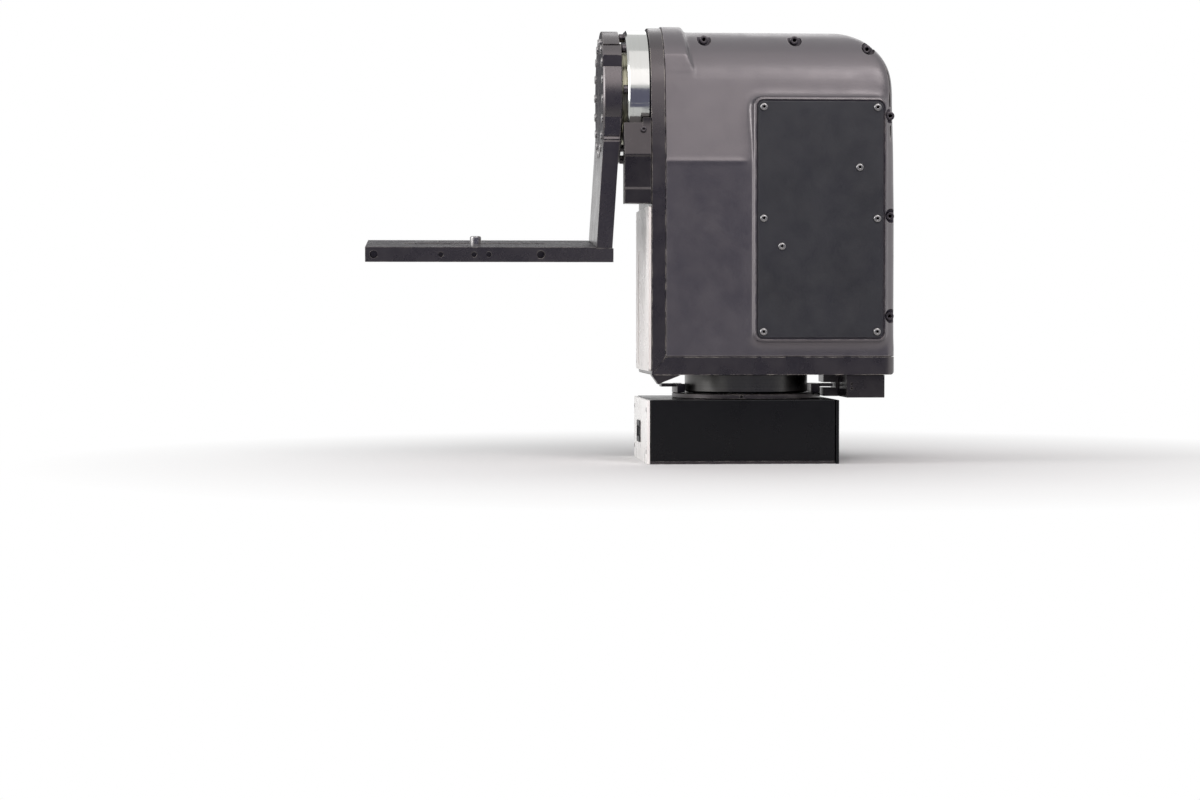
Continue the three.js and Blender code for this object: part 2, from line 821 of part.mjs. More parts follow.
function makeAccessPlate() {
  let plate = prismY(accessPlateOutline(0, plateRound), plateFrontY, plateFrontY + plateWall);
  const holeRadius = buttonShank + seatGap;
  buttonPlaces.forEach(({ x, z }) => {
    plate = plate.subtract(rod('y', holeRadius, -overrun, buttonLength, coarse, [x, padFrontY, z]));
  });
  return plate;
}

// Screw along Y with its head towards -Y and a six sided socket
function makeScrew(head, headHeight, shank, socket, socketDepth, place, seatY, endY) {
  const centre = [place.x, 0, place.z];
  const under = seatY - seatGap;
  const top = under - headHeight;
  const chamfer = headHeight * screwChamferShare;
  const body = turned('y', [
    [0, endY], [shank, endY], [shank, under], [head, under],
    [head, top + chamfer], [head - chamfer, top], [0, top],
  ], coarse, centre);
  return body.subtract(rod('y', socket, top - overrun, top + socketDepth, 6, centre));
}

// Tilt ring, block and drive

function makeTiltRing() {
  const lipX = ringRightX - ringLipWidth;
  return turned('x', [
    [raceOuter + seatGap, ringLeftX], [ringRadius, ringLeftX], [ringRadius, ringRightX],
    [ringLipBore, ringRightX], [ringLipBore, lipX], [raceOuter + seatGap, lipX],
  ], fine, [0, 0, tiltZ]);
}

const tiltRaceRightX = ringRightX - ringLipWidth - seatGap;
const tiltRaceLeftX = tiltRaceRightX - raceHeight;

function makeTiltRace(inner, outer, centreZ) {
  return collar('x', inner, outer, tiltRaceLeftX, tiltRaceRightX, fine, [0, 0, centreZ]);
}

function makeTiltBlock() {
  const front = -halfDepth - blockProud;
  const outline = [
    [front, tiltZ - blockDrop], [front + blockThickness, tiltZ - blockDrop],
    [front + blockThickness, tiltZ - blockTopDrop], [front + blockLean, tiltZ - blockTopDrop],
    [front, tiltZ - blockCreaseDrop],
  ];
  const solidBlock = prismX(outline, ringRightX - blockWidth, ringRightX);
  const left = ringRightX - blockWidth - overrun;
  const seat = rod('x', ringRadius + seatGap, left, ringRightX + overrun, fine, [0, 0, tiltZ]);
  return solidBlock.subtract(seat);
}

const tiltPulleyX = coverLeftX + tiltPulleyInset - seatGap;
const bracketX = tiltPulleyX + pulleyWidth + bracketPulleyGap;

function makeTiltMotor() {
  const face = bracketX + bracketWall + seatGap;
  const centre = [0, 0, tiltMotorZ];
  const body = rod('x', tiltMotorRadius, face, face + tiltMotorLength, medium, centre);
  const boss = rod('x', tiltMotorBoss, bracketX, face + overrun, medium, centre);
  const boreEnd = bracketX + tiltMotorShaftLength + turnGap;
  const bore = rod('x', tiltMotorShaft + turnGap, bracketX - overrun, boreEnd, coarse, centre);
  return body.add(boss).subtract(bore);
}

function makeTiltPinion() {
  const centre = [0, 0, tiltMotorZ];
  const shaft = rod('x', tiltMotorShaft, tiltPulleyX, bracketX + tiltMotorShaftLength, coarse, centre);
  return pulley('x', tiltPinionRadius, tiltMotorShaft / 2, tiltPulleyX, medium, centre).add(shaft);
}

function makeTiltBelt() {
  return belt(prismX, [0, tiltZ], tiltPulleyRadius, [0, tiltMotorZ], tiltPinionRadius, tiltPulleyX);
}

function makeMotorBracket() {
  const foot = floorTopZ + seatGap;
  const top = tiltMotorZ + tiltMotorRadius + bracketHeadroom;
  const half = bracketHalfWidth;
  const upright = block(bracketX, bracketX + bracketWall, -half, half, foot, top);
  const shelf = block(bracketX, bracketX + bracketFootLength, -half, half, foot, foot + bracketWall);
  const holeEnd = bracketX + bracketWall + overrun;
  const hole = rod('x', tiltMotorBoss + seatGap, bracketX - overrun, holeEnd, medium, [0, 0, tiltMotorZ]);
  return upright.add(shelf).subtract(hole);
}

// Boards

const trayBackY = -halfDepth + trayInset + trayWall;
const trayFootZ = floorTopZ + seatGap;
const boardLowZ = trayFootZ + boardFootGap;
const boardHighZ = trayFootZ + trayHeight - boardMargin;
const mainBoardY = trayBackY - trayWall - standoffLength - seatGap - boardWall;

function boardCorners() {
  const inset = boardMargin + 2 * standoffRadius;
  return [trayLeft + inset, trayRight - inset].flatMap((x) => (
    [boardLowZ + inset, boardHighZ - inset].map((z) => [x, 0, z])
  ));
}

function makeTray() {
  const frontY = trayBackY - trayWall;
  let tray = block(trayLeft, trayRight, frontY, trayBackY, trayFootZ, trayFootZ + trayHeight)
    .add(block(trayLeft, trayRight, frontY, trayBackY + trayFoot, trayFootZ, trayFootZ + trayWall));
  const low = frontY - standoffLength;
  const high = trayBackY + standoffLength;
  boardCorners().forEach((centre) => {
    tray = tray.add(rod('y', standoffRadius, low, high, coarse, centre));
  });
  return tray;
}

function makeBoard(y0) {
  return block(trayLeft + boardMargin, trayRight - boardMargin, y0, y0 + boardWall, boardLowZ, boardHighZ);
}

function makeSidePanel() {
  const half = halfDepth - sidePanelInset;
  const foot = headFloorZ + sidePanelFoot;
  const top = tiltZ - blockDrop - sidePanelBlockGap;
  const outline = roundedRectangle(-half, half, foot, top, sidePanelRound);
  return prismX(outline, ringRightX - sidePanelWall, ringRightX);
}

// Tilting side, modelled from the tilt axis with the bracket level

function makeAdapter() {
  const right = ringLeftX - turnGap;
  const left = hubRightX + seatGap;
  return turned('x', [
    [tiltShaftBore, left], [adapterRadius, left], [adapterRadius, right], [adapterBoss, right],
    [adapterBoss, right + adapterBossHeight], [tiltShaftBore, right + adapterBossHeight],
  ], fine);
}

const tiltShaftX = ringLeftX - turnGap + adapterBossHeight + seatGap;

function makeTiltShaft() {
  return collar('x', tiltShaftBore, spindleRadius, tiltShaftX, tiltShaftX + tiltShaftLength, fine);
}

// Face of the raked arm at a given drop below the tilt axis
function armFaceX(drop) {
  return hubLeftX + armInset - armRakeShare * drop;
}

function makeArm() {
  const low = plateTopDrop + armRebate - seatGap;
  const slab = prismY([
    [armFaceX(armTopDrop), -armTopDrop], [armFaceX(low), -low],
    [armFaceX(low) + armWall, -low], [armFaceX(armTopDrop) + armWall, -armTopDrop],
  ], -armHalfWidth, armHalfWidth);
  const hub = rod('x', armHubRadius, hubLeftX, hubRightX, fine);
  const notchRoot = Math.sqrt(armHubRadius ** 2 - notchLow ** 2) - notchDepth;
  const notch = block(
    hubLeftX - overrun, hubRightX + overrun, -armHubRadius - overrun, -notchRoot, notchLow, notchHigh,
  );
  return hub.add(slab).subtract(notch);
}

const plateRightX = armFaceX(plateTopDrop) + armWall + cameraPlateProud;
const cameraPlateLeftX = plateRightX - cameraPlateLength;
const plateBottom = -plateTopDrop - cameraPlateWall;
const slotMidX = cameraPlateLeftX + slotCentre;

function slotOutline(halfWidth) {
  const reach = slotLength / 2 - slotWidth / 2;
  return [
    ...arc(slotMidX + reach, 0, halfWidth, -90, 90, 6),
    ...arc(slotMidX - reach, 0, halfWidth, 90, 270, 6),
  ];
}

function makeCameraPlate() {
  const outline = [
    [cameraPlateLeftX, plateBottom], [plateRightX - cameraPlateChamfer, plateBottom],
    [plateRightX, plateBottom + cameraPlateChamfer], [plateRightX, -plateTopDrop - cameraPlateChamfer],
    [plateRightX - cameraPlateChamfer, -plateTopDrop], [cameraPlateLeftX, -plateTopDrop],
  ];
  const below = plateBottom - overrun;
  const slot = prismZ(slotOutline(slotWidth / 2), below, -plateTopDrop + overrun);
  const counter = prismZ(slotOutline(slotCounterWidth / 2), below, plateBottom + slotCounterDepth);
  const seat = block(
    armFaceX(plateTopDrop) - seatGap, plateRightX + overrun, -armHalfWidth - overrun, armHalfWidth + overrun,
    -plateTopDrop - armRebate, -plateTopDrop + overrun,
  );
  let plate = prismY(outline, -armHalfWidth, armHalfWidth).subtract(slot).subtract(counter).subtract(seat);
  [edgeHoleInset, edgeHoleInset + edgeHolePitch].forEach((along) => {
    const centre = [cameraPlateLeftX + along, -armHalfWidth, plateBottom + cameraPlateWall / 2];
    plate = plate.subtract(rod('y', edgeHoleRadius, -overrun, edgeHoleDepth, coarse, centre));
  });
  return plate;
}

function makeCameraScrew() {
  const seat = plateBottom + slotCounterDepth - seatGap;
  const low = seat - cameraScrewHeadHeight;
  const high = cameraScrewReach - plateTopDrop;
  return turned('z', [
    [0, low], [cameraScrewHead, low], [cameraScrewHead, seat],
    [cameraScrewRadius, seat], [cameraScrewRadius, high], [0, high],
  ], coarse, [slotMidX, 0, 0]);
}

// Finishes
const blackAnodised = { color: 0x25252b, roughness: 0.45, metalness: 0.5 };
const blackPaint = { color: 0x1b1a20, roughness: 0.5, metalness: 0.1 };
const coverPaint = { color: 0x57545a, roughness: 0.55, metalness: 0.1 };
const polishedAluminium = { color: 0xe6e8e8, roughness: 0.2, metalness: 1 };
const greyAluminium = { color: 0x6f6f70, roughness: 0.4, metalness: 0.8 };
const tanAluminium = { color: 0x8b8672, roughness: 0.4, metalness: 0.8 };
const steel = { color: 0x9a9a9c, roughness: 0.3, metalness: 1 };
const blackOxide = { color: 0x2c2a2c, roughness: 0.4, metalness: 0.8 };
const paleLacquer = { color: 0xcfc8c6, roughness: 0.35, metalness: 0.3 };
const rubber = { color: 0x151515, roughness: 0.9, metalness: 0 };
const boardGreen = { color: 0x1e5a38, roughness: 0.5, metalness: 0 };
const blackPlastic = { color: 0x202022, roughness: 0.6, metalness: 0 };

function piece(name, shape, finish) {
  const mesh = new THREE.Mesh(geometryOf(shape), new THREE.MeshStandardMaterial(finish));
  mesh.name = name;
  return mesh;
}

const base = new THREE.Group();
const head = new THREE.Group();
const tilting = new THREE.Group();
tilting.position.set(0, 0, tiltZ);
tilting.rotation.x = THREE.MathUtils.degToRad(restTiltDeg);

base.add(
  piece('base_plate', makeBasePlate(), blackAnodised),
  piece('base_housing', makeBaseHousing(), blackPaint),
  piece('base_panel_left', makeBasePanel(-baseLeft).subtract(inletCut()), paleLacquer),
  piece('base_panel_right', makeBasePanel(baseRight - basePanel), blackPaint),
  piece('base_inlet', makeInlet(), blackPlastic),
  piece('pan_flange', makePanFlange(), blackAnodised),
  piece('pan_bearing_outer', makePanRace(raceSplit, raceOuter), steel),
  piece('limit_flag_left', makeLimitFlag(180), blackAnodised),
  piece('limit_flag_right', makeLimitFlag(0), blackAnodised),
  piece('pan_motor', makePanMotor(), blackOxide),
  piece('pan_pinion', makePanPinion(), greyAluminium),
  piece('pan_belt', makePanBelt(), rubber),
  piece('slip_ring_stator', makeSlipStator(), blackPlastic),
);

head.add(
  piece('pan_spindle', makeSpindle(), steel),
  piece('pan_drum', makeDrum(), greyAluminium),
  piece('pan_bearing_inner', makePanRace(raceInner, raceSplit - turnGap), steel),
  piece('pan_pulley', pulley('z', panPulleyRadius, raceInner, pulleyBottomZ, medium), greyAluminium),
  piece('slip_ring_rotor', makeSlipRotor(), blackPlastic),
  piece('head_floor_plate', makeFloorPlate(), blackAnodised),
  piece('head_side_plate', makeSidePlate(), blackAnodised),
  piece('front_cover', makeFrontCover(), coverPaint),
  piece('rear_cover', makeRearCover(), coverPaint),
  piece('cover_seal', makeCoverSeal(), rubber),
  piece('access_plate', makeAccessPlate(), blackAnodised),
  piece('side_panel', makeSidePanel(), paleLacquer),
  piece('pan_sensor_block', makeSensorBlock(), blackAnodised),
  piece('index_pointer', makePointer(), blackAnodised),
  piece('tilt_ring', makeTiltRing(), polishedAluminium),
  piece('tilt_block', makeTiltBlock(), blackAnodised),
  piece('tilt_bearing_outer', makeTiltRace(raceSplit, raceOuter, tiltZ), steel),
  piece('tilt_motor', makeTiltMotor(), blackOxide),
  piece('tilt_motor_bracket', makeMotorBracket(), greyAluminium),
  piece('tilt_pinion', makeTiltPinion(), greyAluminium),
  piece('tilt_belt', makeTiltBelt(), rubber),
  piece('board_tray', makeTray(), steel),
  piece('main_board', makeBoard(mainBoardY), boardGreen),
  piece('drive_board', makeBoard(trayBackY + standoffLength + seatGap), boardGreen),
  piece('connector_panel', makeRearPanel(), blackAnodised),
);

capScrewPlaces.forEach((place, i) => {
  const screw = makeScrew(
    capHead, capHeadHeight, capShank, capSocket, capSocketDepth, place, -place.seat, capReach,
  );
  head.add(piece(`cover_screw_${i + 1}`, screw, blackOxide));
});

buttonPlaces.forEach((place, i) => {
  const screw = makeScrew(
    buttonHead, buttonHeadHeight, buttonShank, buttonSocket, buttonHeadHeight / 2,
    place, plateFrontY, plateFrontY + buttonLength - seatGap,
  );
  head.add(piece(`plate_screw_${i + 1}`, screw, steel));
});

tilting.add(
  piece('tilt_shaft', makeTiltShaft(), steel),
  piece('tilt_bearing_inner', makeTiltRace(raceInner, raceSplit - turnGap, 0), steel),
  piece('tilt_pulley', pulley('x', tiltPulleyRadius, raceInner, tiltPulleyX, medium), greyAluminium),
  piece('tilt_adapter', makeAdapter(), tanAluminium),
  piece('bracket_arm', makeArm(), blackAnodised),
  piece('camera_plate', makeCameraPlate(), blackAnodised),
  piece('camera_screw', makeCameraScrew(), steel),
);

const panTiltHead = new THREE.Group();
panTiltHead.add(base, head, tilting);

export default panTiltHead;
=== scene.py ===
"""Finished pieces, materials and stage of a remote pan tilt head, for Blender 4.5.

Laid out as an add-on and run as a script. Metres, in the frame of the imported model: the origin is
on the pan axis under the base, +Z is up, the camera bracket is at -X and the access plate at -Y.
Sizes and places of the pieces are written in millimetres.
"""

import json
import math

import bmesh
import bpy
from bpy.props import FloatProperty, FloatVectorProperty, IntProperty, PointerProperty
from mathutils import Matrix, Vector


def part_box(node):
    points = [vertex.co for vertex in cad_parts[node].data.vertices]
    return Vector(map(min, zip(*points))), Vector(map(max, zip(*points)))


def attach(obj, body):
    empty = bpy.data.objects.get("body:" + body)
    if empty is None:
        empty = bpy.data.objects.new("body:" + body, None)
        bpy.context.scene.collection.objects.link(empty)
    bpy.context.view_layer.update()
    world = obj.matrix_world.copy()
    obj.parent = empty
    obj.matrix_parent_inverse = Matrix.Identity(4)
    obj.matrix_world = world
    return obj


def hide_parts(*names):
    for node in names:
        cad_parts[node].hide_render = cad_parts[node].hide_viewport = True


bl_info = {
    "name": "Remote Pan Tilt Head",
    "version": (1, 0, 0),
    "blender": (4, 5, 0),
    "location": "View3D > Sidebar > Pan Tilt Head",
    "description": "Builds the finished pieces, materials and stage of a remote pan tilt head",
    "category": "Add Mesh",
}

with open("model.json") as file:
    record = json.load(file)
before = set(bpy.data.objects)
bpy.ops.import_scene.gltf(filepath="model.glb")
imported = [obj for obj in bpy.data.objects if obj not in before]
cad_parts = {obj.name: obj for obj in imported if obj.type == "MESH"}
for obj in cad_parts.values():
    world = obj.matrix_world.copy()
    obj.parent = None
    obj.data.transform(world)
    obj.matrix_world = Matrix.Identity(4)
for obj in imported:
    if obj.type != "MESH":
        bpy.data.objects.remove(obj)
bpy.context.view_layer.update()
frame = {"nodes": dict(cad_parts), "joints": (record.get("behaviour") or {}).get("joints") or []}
MM = 0.001
TILT_Z = frame["joints"][1]["pos_m"][2]
REST_TILT = math.radians(4.7)


def node_box(node):
    """Lowest and highest corner of a CAD node in millimetres."""
    low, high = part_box(node)
    return [v / MM for v in low], [v / MM for v in high]


# Selection and edit mode


def select_only(piece):
    """Makes one object the only selected one, and the active one."""
    if bpy.context.object and bpy.context.object.mode != "OBJECT":
        bpy.ops.object.mode_set(mode="OBJECT")
    bpy.ops.object.select_all(action="DESELECT")
    piece.select_set(True)
    bpy.context.view_layer.objects.active = piece


def edit(piece, kind="VERT", action="SELECT"):
    """Enters edit mode on a kind of element, with all or nothing selected."""
    select_only(piece)
    bpy.ops.object.mode_set(mode="EDIT")
    bpy.ops.mesh.select_mode(type=kind)
    bpy.ops.mesh.select_all(action=action)
    return bmesh.from_edit_mesh(piece.data)


def pick(piece, kind, test):
    """Enters edit mode with the faces or edges selected that pass a test."""
    mesh = edit(piece, kind, "DESELECT")
    chosen = [item for item in getattr(mesh, f"{kind.lower()}s") if test(item)]
    if not chosen:
        raise RuntimeError(f"{piece.name}: no {kind.lower()} was picked")
    for item in chosen:
        item.select_set(True)
    mesh.select_flush_mode()
    bmesh.update_edit_mesh(piece.data)


def leave(piece):
    bpy.ops.object.mode_set(mode="OBJECT")
    return piece


# Starting shapes


def settle(piece, name):
    """Names a new object and puts its place, turn and scale into its mesh."""
    piece.name = name
    piece.data.name = name
    bpy.ops.object.transform_apply(location=True, rotation=True, scale=True)
    return piece


def box(name, low, high):
    bpy.ops.object.select_all(action="DESELECT")
    size = [(b - a) * MM for a, b in zip(low, high)]
    centre = [(a + b) / 2 * MM for a, b in zip(low, high)]
    bpy.ops.mesh.primitive_cube_add(size=1, location=centre, scale=size)
    return settle(bpy.context.object, name)


TURN = {"x": (0, math.pi / 2, 0), "y": (-math.pi / 2, 0, 0), "z": (0, 0, 0)}


def rod(name, axis, radius, start, end, centre=(0, 0, 0), facets=64):
    """Cylinder along an axis from start to end, its centre line through a point."""
    bpy.ops.object.select_all(action="DESELECT")
    place = list(centre)
    place["xyz".index(axis)] += (start + end) / 2
    bpy.ops.mesh.primitive_cylinder_add(
        vertices=facets, radius=radius * MM, depth=(end - start) * MM,
        location=[v * MM for v in place], rotation=TURN[axis],
    )
    return settle(bpy.context.object, name)


def rods(axis, radius, start, end, centres, facets):
    """Equal cylinders that don't touch, as one object."""
    return joined("rods", [rod("rod", axis, radius, start, end, centre, facets) for centre in centres])


def wire(name, points, closed):
    """Chain of edges drawn vertex by vertex through points in millimetres."""
    bpy.ops.object.select_all(action="DESELECT")
    bpy.ops.mesh.primitive_plane_add(size=MM, location=[v * MM for v in points[0]])
    piece = settle(bpy.context.object, name)
    edit(piece)
    bpy.ops.mesh.merge(type="CENTER")
    for before, after in zip(points, points[1:]):
        step = [(b - a) * MM for a, b in zip(before, after)]
        bpy.ops.mesh.extrude_vertices_move(TRANSFORM_OT_translate={"value": step})
    if closed:
        bpy.ops.mesh.select_all(action="SELECT")
        bpy.ops.mesh.edge_face_add()
    return leave(piece)


def prism(name, axis, outline, start, end):
    """Outline drawn across an axis and extruded along it. The outline is in the other two axes."""
    along = "xyz".index(axis)
    points = [[*point[:along], start, *point[along:]] for point in outline]
    piece = wire(name, points, True)
    edit(piece, "FACE")
    step = [0, 0, 0]
    step[along] = (end - start) * MM
    bpy.ops.mesh.extrude_region_move(TRANSFORM_OT_translate={"value": step})
    bpy.ops.mesh.select_all(action="SELECT")
    bpy.ops.mesh.normals_make_consistent(inside=False)
    return leave(piece)


def pane(name, axis, low, high, grow, radius, start, end, steps=8):
    """Slab with round corners: a box's outline across an axis, grown by a margin."""
    u, v = [i for i in range(3) if i != "xyz".index(axis)]
    outline = rounded(low[u] - grow, high[u] + grow, low[v] - grow, high[v] + grow, radius, steps)
    return prism(name, axis, outline, start, end)


def turned(name, axis, profile, centre=(0, 0, 0), steps=96, closed=True):
    """Profile of radius and place along the axis, spun round the axis."""
    along = "xyz".index(axis)
    points = []
    for radius, place in profile:
        point = list(centre)
        point[along] += place
        point[(along + 1) % 3] += radius
        points.append(point)
    if closed:
        points.append(points[0])
    piece = wire(name, points, False)
    edit(piece)
    axis_vector = [0, 0, 0]
    axis_vector[along] = 1
    bpy.ops.mesh.spin(
        steps=steps, angle=2 * math.pi, center=[v * MM for v in centre], axis=axis_vector,
    )
    bpy.ops.mesh.select_all(action="SELECT")
    bpy.ops.mesh.remove_doubles(threshold=1e-5)
    bpy.ops.mesh.normals_make_consistent(inside=False)
    return leave(piece)


def arc(cx, cy, radius, start, end, steps):
    """Points of an arc, angles in degrees."""
    angles = [math.radians(start + (end - start) * i / steps) for i in range(steps + 1)]
    return [(cx + radius * math.cos(a), cy + radius * math.sin(a)) for a in angles]


def rounded(x0, x1, y0, y1, radius, steps=8):
    """Rectangle with round corners."""
    points = []
    for x, y, start in ((x1, y0, -90), (x1, y1, 0), (x0, y1, 90), (x0, y0, 180)):
        cx = x - radius if x == x1 else x + radius
        cy = y + radius if y == y0 else y - radius
        points += arc(cx, cy, radius, start, start + 90, steps)
    return points


def sector(inner, outer, middle_deg, span_deg):
    """Part of a ring in plan."""
    start, end = middle_deg - span_deg / 2, middle_deg + span_deg / 2
    return arc(0, 0, outer, start, end, 16) + arc(0, 0, inner, end, start, 16)


# Modifiers and finishing


def apply_modifier(piece, kind, **settings):
    select_only(piece)
    modifier = piece.modifiers.new(kind.title(), kind)
    for key, value in settings.items():
        setattr(modifier, key, value)
    bpy.ops.object.modifier_apply(modifier=modifier.name)
    return piece


def boolean(piece, operation, *cutters):
    """Cuts, joins or intersects a piece with others one by one, which are then removed."""
    for cutter in cutters:
        apply_modifier(piece, "BOOLEAN", operation=operation, solver="EXACT", object=cutter)
        bpy.data.objects.remove(cutter)
    return piece


def cut(piece, *cutters):
    return boolean(piece, "DIFFERENCE", *cutters)


def soften(piece, width, segments=3, angle=30):
    """Rounds all edges sharper than an angle."""
    return apply_modifier(
        piece, "BEVEL", width=width * MM, segments=segments, limit_method="ANGLE",
        angle_limit=math.radians(angle), harden_normals=False, use_clamp_overlap=True,
    )


def joined(name, pieces):
    """Several objects as one."""
    bpy.ops.object.select_all(action="DESELECT")
    for piece in pieces:
        piece.select_set(True)
    bpy.context.view_layer.objects.active = pieces[0]
    bpy.ops.object.join()
    pieces[0].name = name
    pieces[0].data.name = name
    return pieces[0]


def copied(piece, name, shift):
    """Copy with a mesh of its own, moved by millimetres."""
    select_only(piece)
    bpy.ops.object.duplicate()
    twin = bpy.context.object
    twin.location = [v * MM for v in shift]
    return settle(twin, name)


def tilt_to_rest(piece):
    """Turns a piece that was modelled level about the tilt axis to the bracket's rest angle."""
    select_only(piece)
    piece.rotation_euler = (REST_TILT, 0, 0)
    piece.location = (0, 0, TILT_Z)
    return settle(piece, piece.name)


# Material of each finish
MATERIALS = {}


def finish_piece(piece, finish, body, *nodes, angle=35, edge=None):
    """Rounds and shades a piece, gives it its material, hangs it on the body it rides on and hides the
    nodes it replaces.
    """
    if edge:
        soften(piece, *edge)
    select_only(piece)
    bpy.ops.object.shade_smooth_by_angle(angle=math.radians(angle))
    apply_modifier(piece, "WEIGHTED_NORMAL", keep_sharp=True)
    piece.data.materials.clear()
    piece.data.materials.append(MATERIALS[finish])
    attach(piece, body)
    if nodes:
        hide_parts(*nodes)


# Materials


def linear(hex_colour):
    """sRGB hex colour as linear values."""
    parts = [int(hex_colour[i:i + 2], 16) / 255 for i in (1, 3, 5)]
    return [c / 12.92 if c <= 0.04045 else ((c + 0.055) / 1.055) ** 2.4 for c in parts] + [1.0]


def fill_inputs(node, inputs):
    """Sets a node's inputs, by order or by name, to values or to the outputs of other nodes."""
    for key, value in inputs.items() if isinstance(inputs, dict) else enumerate(inputs):
        if isinstance(value, bpy.types.Node):
            value = next(output for output in value.outputs if output.enabled)
        if isinstance(value, bpy.types.NodeSocket):
            node.id_data.links.new(value, node.inputs[key])
        else:
            node.inputs[key].default_value = value


def add_node(tree, kind, inputs=(), **settings):
    """Adds a node with its settings and its inputs."""
    node = tree.nodes.new(f"ShaderNode{kind}")
    for key, value in settings.items():
        setattr(node, key, value)
    fill_inputs(node, inputs)
    return node


def new_material(name, roughness, **constants):
    """Material with constant values on its Principled BSDF, and its Object coordinates."""
    material = bpy.data.materials.new(name)
    material.use_nodes = True
    tree = material.node_tree
    shader = tree.nodes["Principled BSDF"]
    fill_inputs(shader, {"Roughness": roughness})
    fill_inputs(shader, {key.replace("_", " "): value for key, value in constants.items()})
    return material, tree, shader, add_node(tree, "TexCoord").outputs["Object"]


def grain(place, size, detail=2.0, roughness=0.5):
    """Inputs of a noise whose grain has a size in millimetres, on coordinates in metres."""
    return {"Vector": place, "Scale": 1 / (size * MM), "Detail": detail, "Roughness": roughness}


def shade(tree, shader, tones, pattern, dull, height, depth):
    """Colour from a pattern between two tones, roughness from a node, and a bump in millimetres."""
    share = add_node(tree, "MapRange", (pattern, 0.3, 0.7))
    tone = add_node(
        tree, "Mix", {0: share, 6: linear(tones[0]), 7: linear(tones[1])}, data_type="RGBA",
    )
    bump = add_node(tree, "Bump", {"Height": height, "Distance": depth * MM})
    fill_inputs(shader, {"Base Color": tone, "Roughness": dull, "Normal": bump})


# Dot products of the true and the rounded normal between which an edge takes the pale edge tone, partly
# real rubbing and partly a painted edge highlight
EDGE_NONE, EDGE_FULL = 1 - 0.006, 1 - 0.05


def coated(name, dark, light, rub_and_highlight_tone, roughness, size, depth, rub_and_highlight_share, edge, patchy=0.45, **constants):
    """Paint or anodising: slow colour drift, fine grain, duller patches, and pale edges that are partly
    real rubbing and partly a painted edge highlight.
    """
    material, tree, shader, place = new_material(name, roughness, **constants)
    drift, speck, rub_and_highlight_patches, patch, peel = (add_node(tree, "TexNoise", grain(place, *each)) for each in (
        (55, 3.0), (size * 2.5, 3.0, 0.6), (9, 4.0, 0.7), (18, 4.0, 0.6), (size, 3.0, 0.6),
    ))
    soft = add_node(tree, "Bevel", {"Radius": edge * MM}, samples=4)
    true = add_node(tree, "NewGeometry").outputs["Normal"]
    dot = add_node(tree, "VectorMath", (soft, true), operation="DOT_PRODUCT")
    drift, speck, rub_and_highlight_patches, rim, dull = (add_node(tree, "MapRange", each) for each in (
        (drift, 0.35, 0.65), (speck, 0.35, 0.65, 0, 0.35), (rub_and_highlight_patches, patchy, patchy + 0.17, 0, rub_and_highlight_share),
        (dot, EDGE_NONE, EDGE_FULL), (patch, 0.3, 0.7, roughness - 0.06, roughness + 0.07),
    ))
    # Edges take a pale tone in patches: partly real rubbing, partly a painted highlight along the edges.
    rubbed_and_highlit = add_node(tree, "Math", (rim, rub_and_highlight_patches), operation="MULTIPLY")
    tone = linear(dark)
    for share, over in ((drift, light), (speck, light), (rubbed_and_highlit, rub_and_highlight_tone)):
        tone = add_node(tree, "Mix", {0: share, 6: tone, 7: linear(over)}, data_type="RGBA")
    bump = add_node(tree, "Bump", {"Height": peel, "Distance": depth * MM})
    fill_inputs(shader, {"Base Color": tone, "Roughness": dull, "Normal": bump})
    return material


def machined(name, dark, light, roughness, lines_mm, axis, height=0.0, depth=0.004):
    """Turned metal: fine rings round an axis, each a little lighter or duller than the next."""
    material, tree, shader, place = new_material(name, roughness, Metallic=1.0)
    moved = add_node(tree, "Mapping", {"Vector": place, "Location": (0, 0, -height)})
    parts = add_node(tree, "SeparateXYZ", (moved,)).outputs
    squares = [
        add_node(tree, "Math", (parts[c], parts[c]), operation="MULTIPLY") for c in "XYZ" if c != axis
    ]
    total = add_node(tree, "Math", squares, operation="ADD")
    radius = add_node(tree, "Math", (total,), operation="SQRT")
    ring = add_node(tree, "CombineXYZ", {"X": radius, "Y": parts[axis]})
    lines = add_node(tree, "TexNoise", grain(ring, lines_mm, 3.0, 0.7))
    blotch = add_node(tree, "TexNoise", grain(place, 14, 3.0))
    halves = [add_node(tree, "Math", (item, 0.5), operation="MULTIPLY") for item in (lines, blotch)]
    sheen = add_node(tree, "Math", halves, operation="ADD")
    dull = add_node(tree, "MapRange", (sheen, 0.35, 0.65, roughness - 0.05, roughness + 0.07))
    shade(tree, shader, (dark, light), lines, dull, lines, depth)
    return material


def drawn_metal(name, dark, light, roughness, lines_mm, stretch=(1, 1, 1), depth=0.004):
    """Brushed or ground metal: grain drawn out along one axis."""
    material, tree, shader, place = new_material(name, roughness, Metallic=1.0)
    drawn = add_node(tree, "Mapping", {"Vector": place, "Scale": stretch})
    lines = add_node(tree, "TexNoise", grain(drawn, lines_mm, 3.0, 0.65))
    dull = add_node(tree, "MapRange", (lines, 0.3, 0.7, roughness - 0.05, roughness + 0.08))
    shade(tree, shader, (dark, light), lines, dull, lines, depth)
    return material


def moulded(name, dark, light, roughness, size, depth, **constants):
    """Plastic, rubber or enamel: a fine even texture with little drift in colour."""
    material, tree, shader, place = new_material(name, roughness, **constants)
    drift = add_node(tree, "TexNoise", grain(place, 20, 3.0))
    fine = add_node(tree, "TexNoise", grain(place, size))
    dull = add_node(tree, "MapRange", (fine, 0.3, 0.7, roughness - 0.05, roughness + 0.05))
    shade(tree, shader, (dark, light), drift, dull, fine, depth)
    return material


# Dense satin coats reflect up to twice what plain paint does, and a little warmer.
WARM = (1, 0.91, 0.93, 1)


def satin(level, **constants):
    """Constants of a dense satin coat."""
    return {"Specular_IOR_Level": level, "Specular_Tint": WARM, **constants}


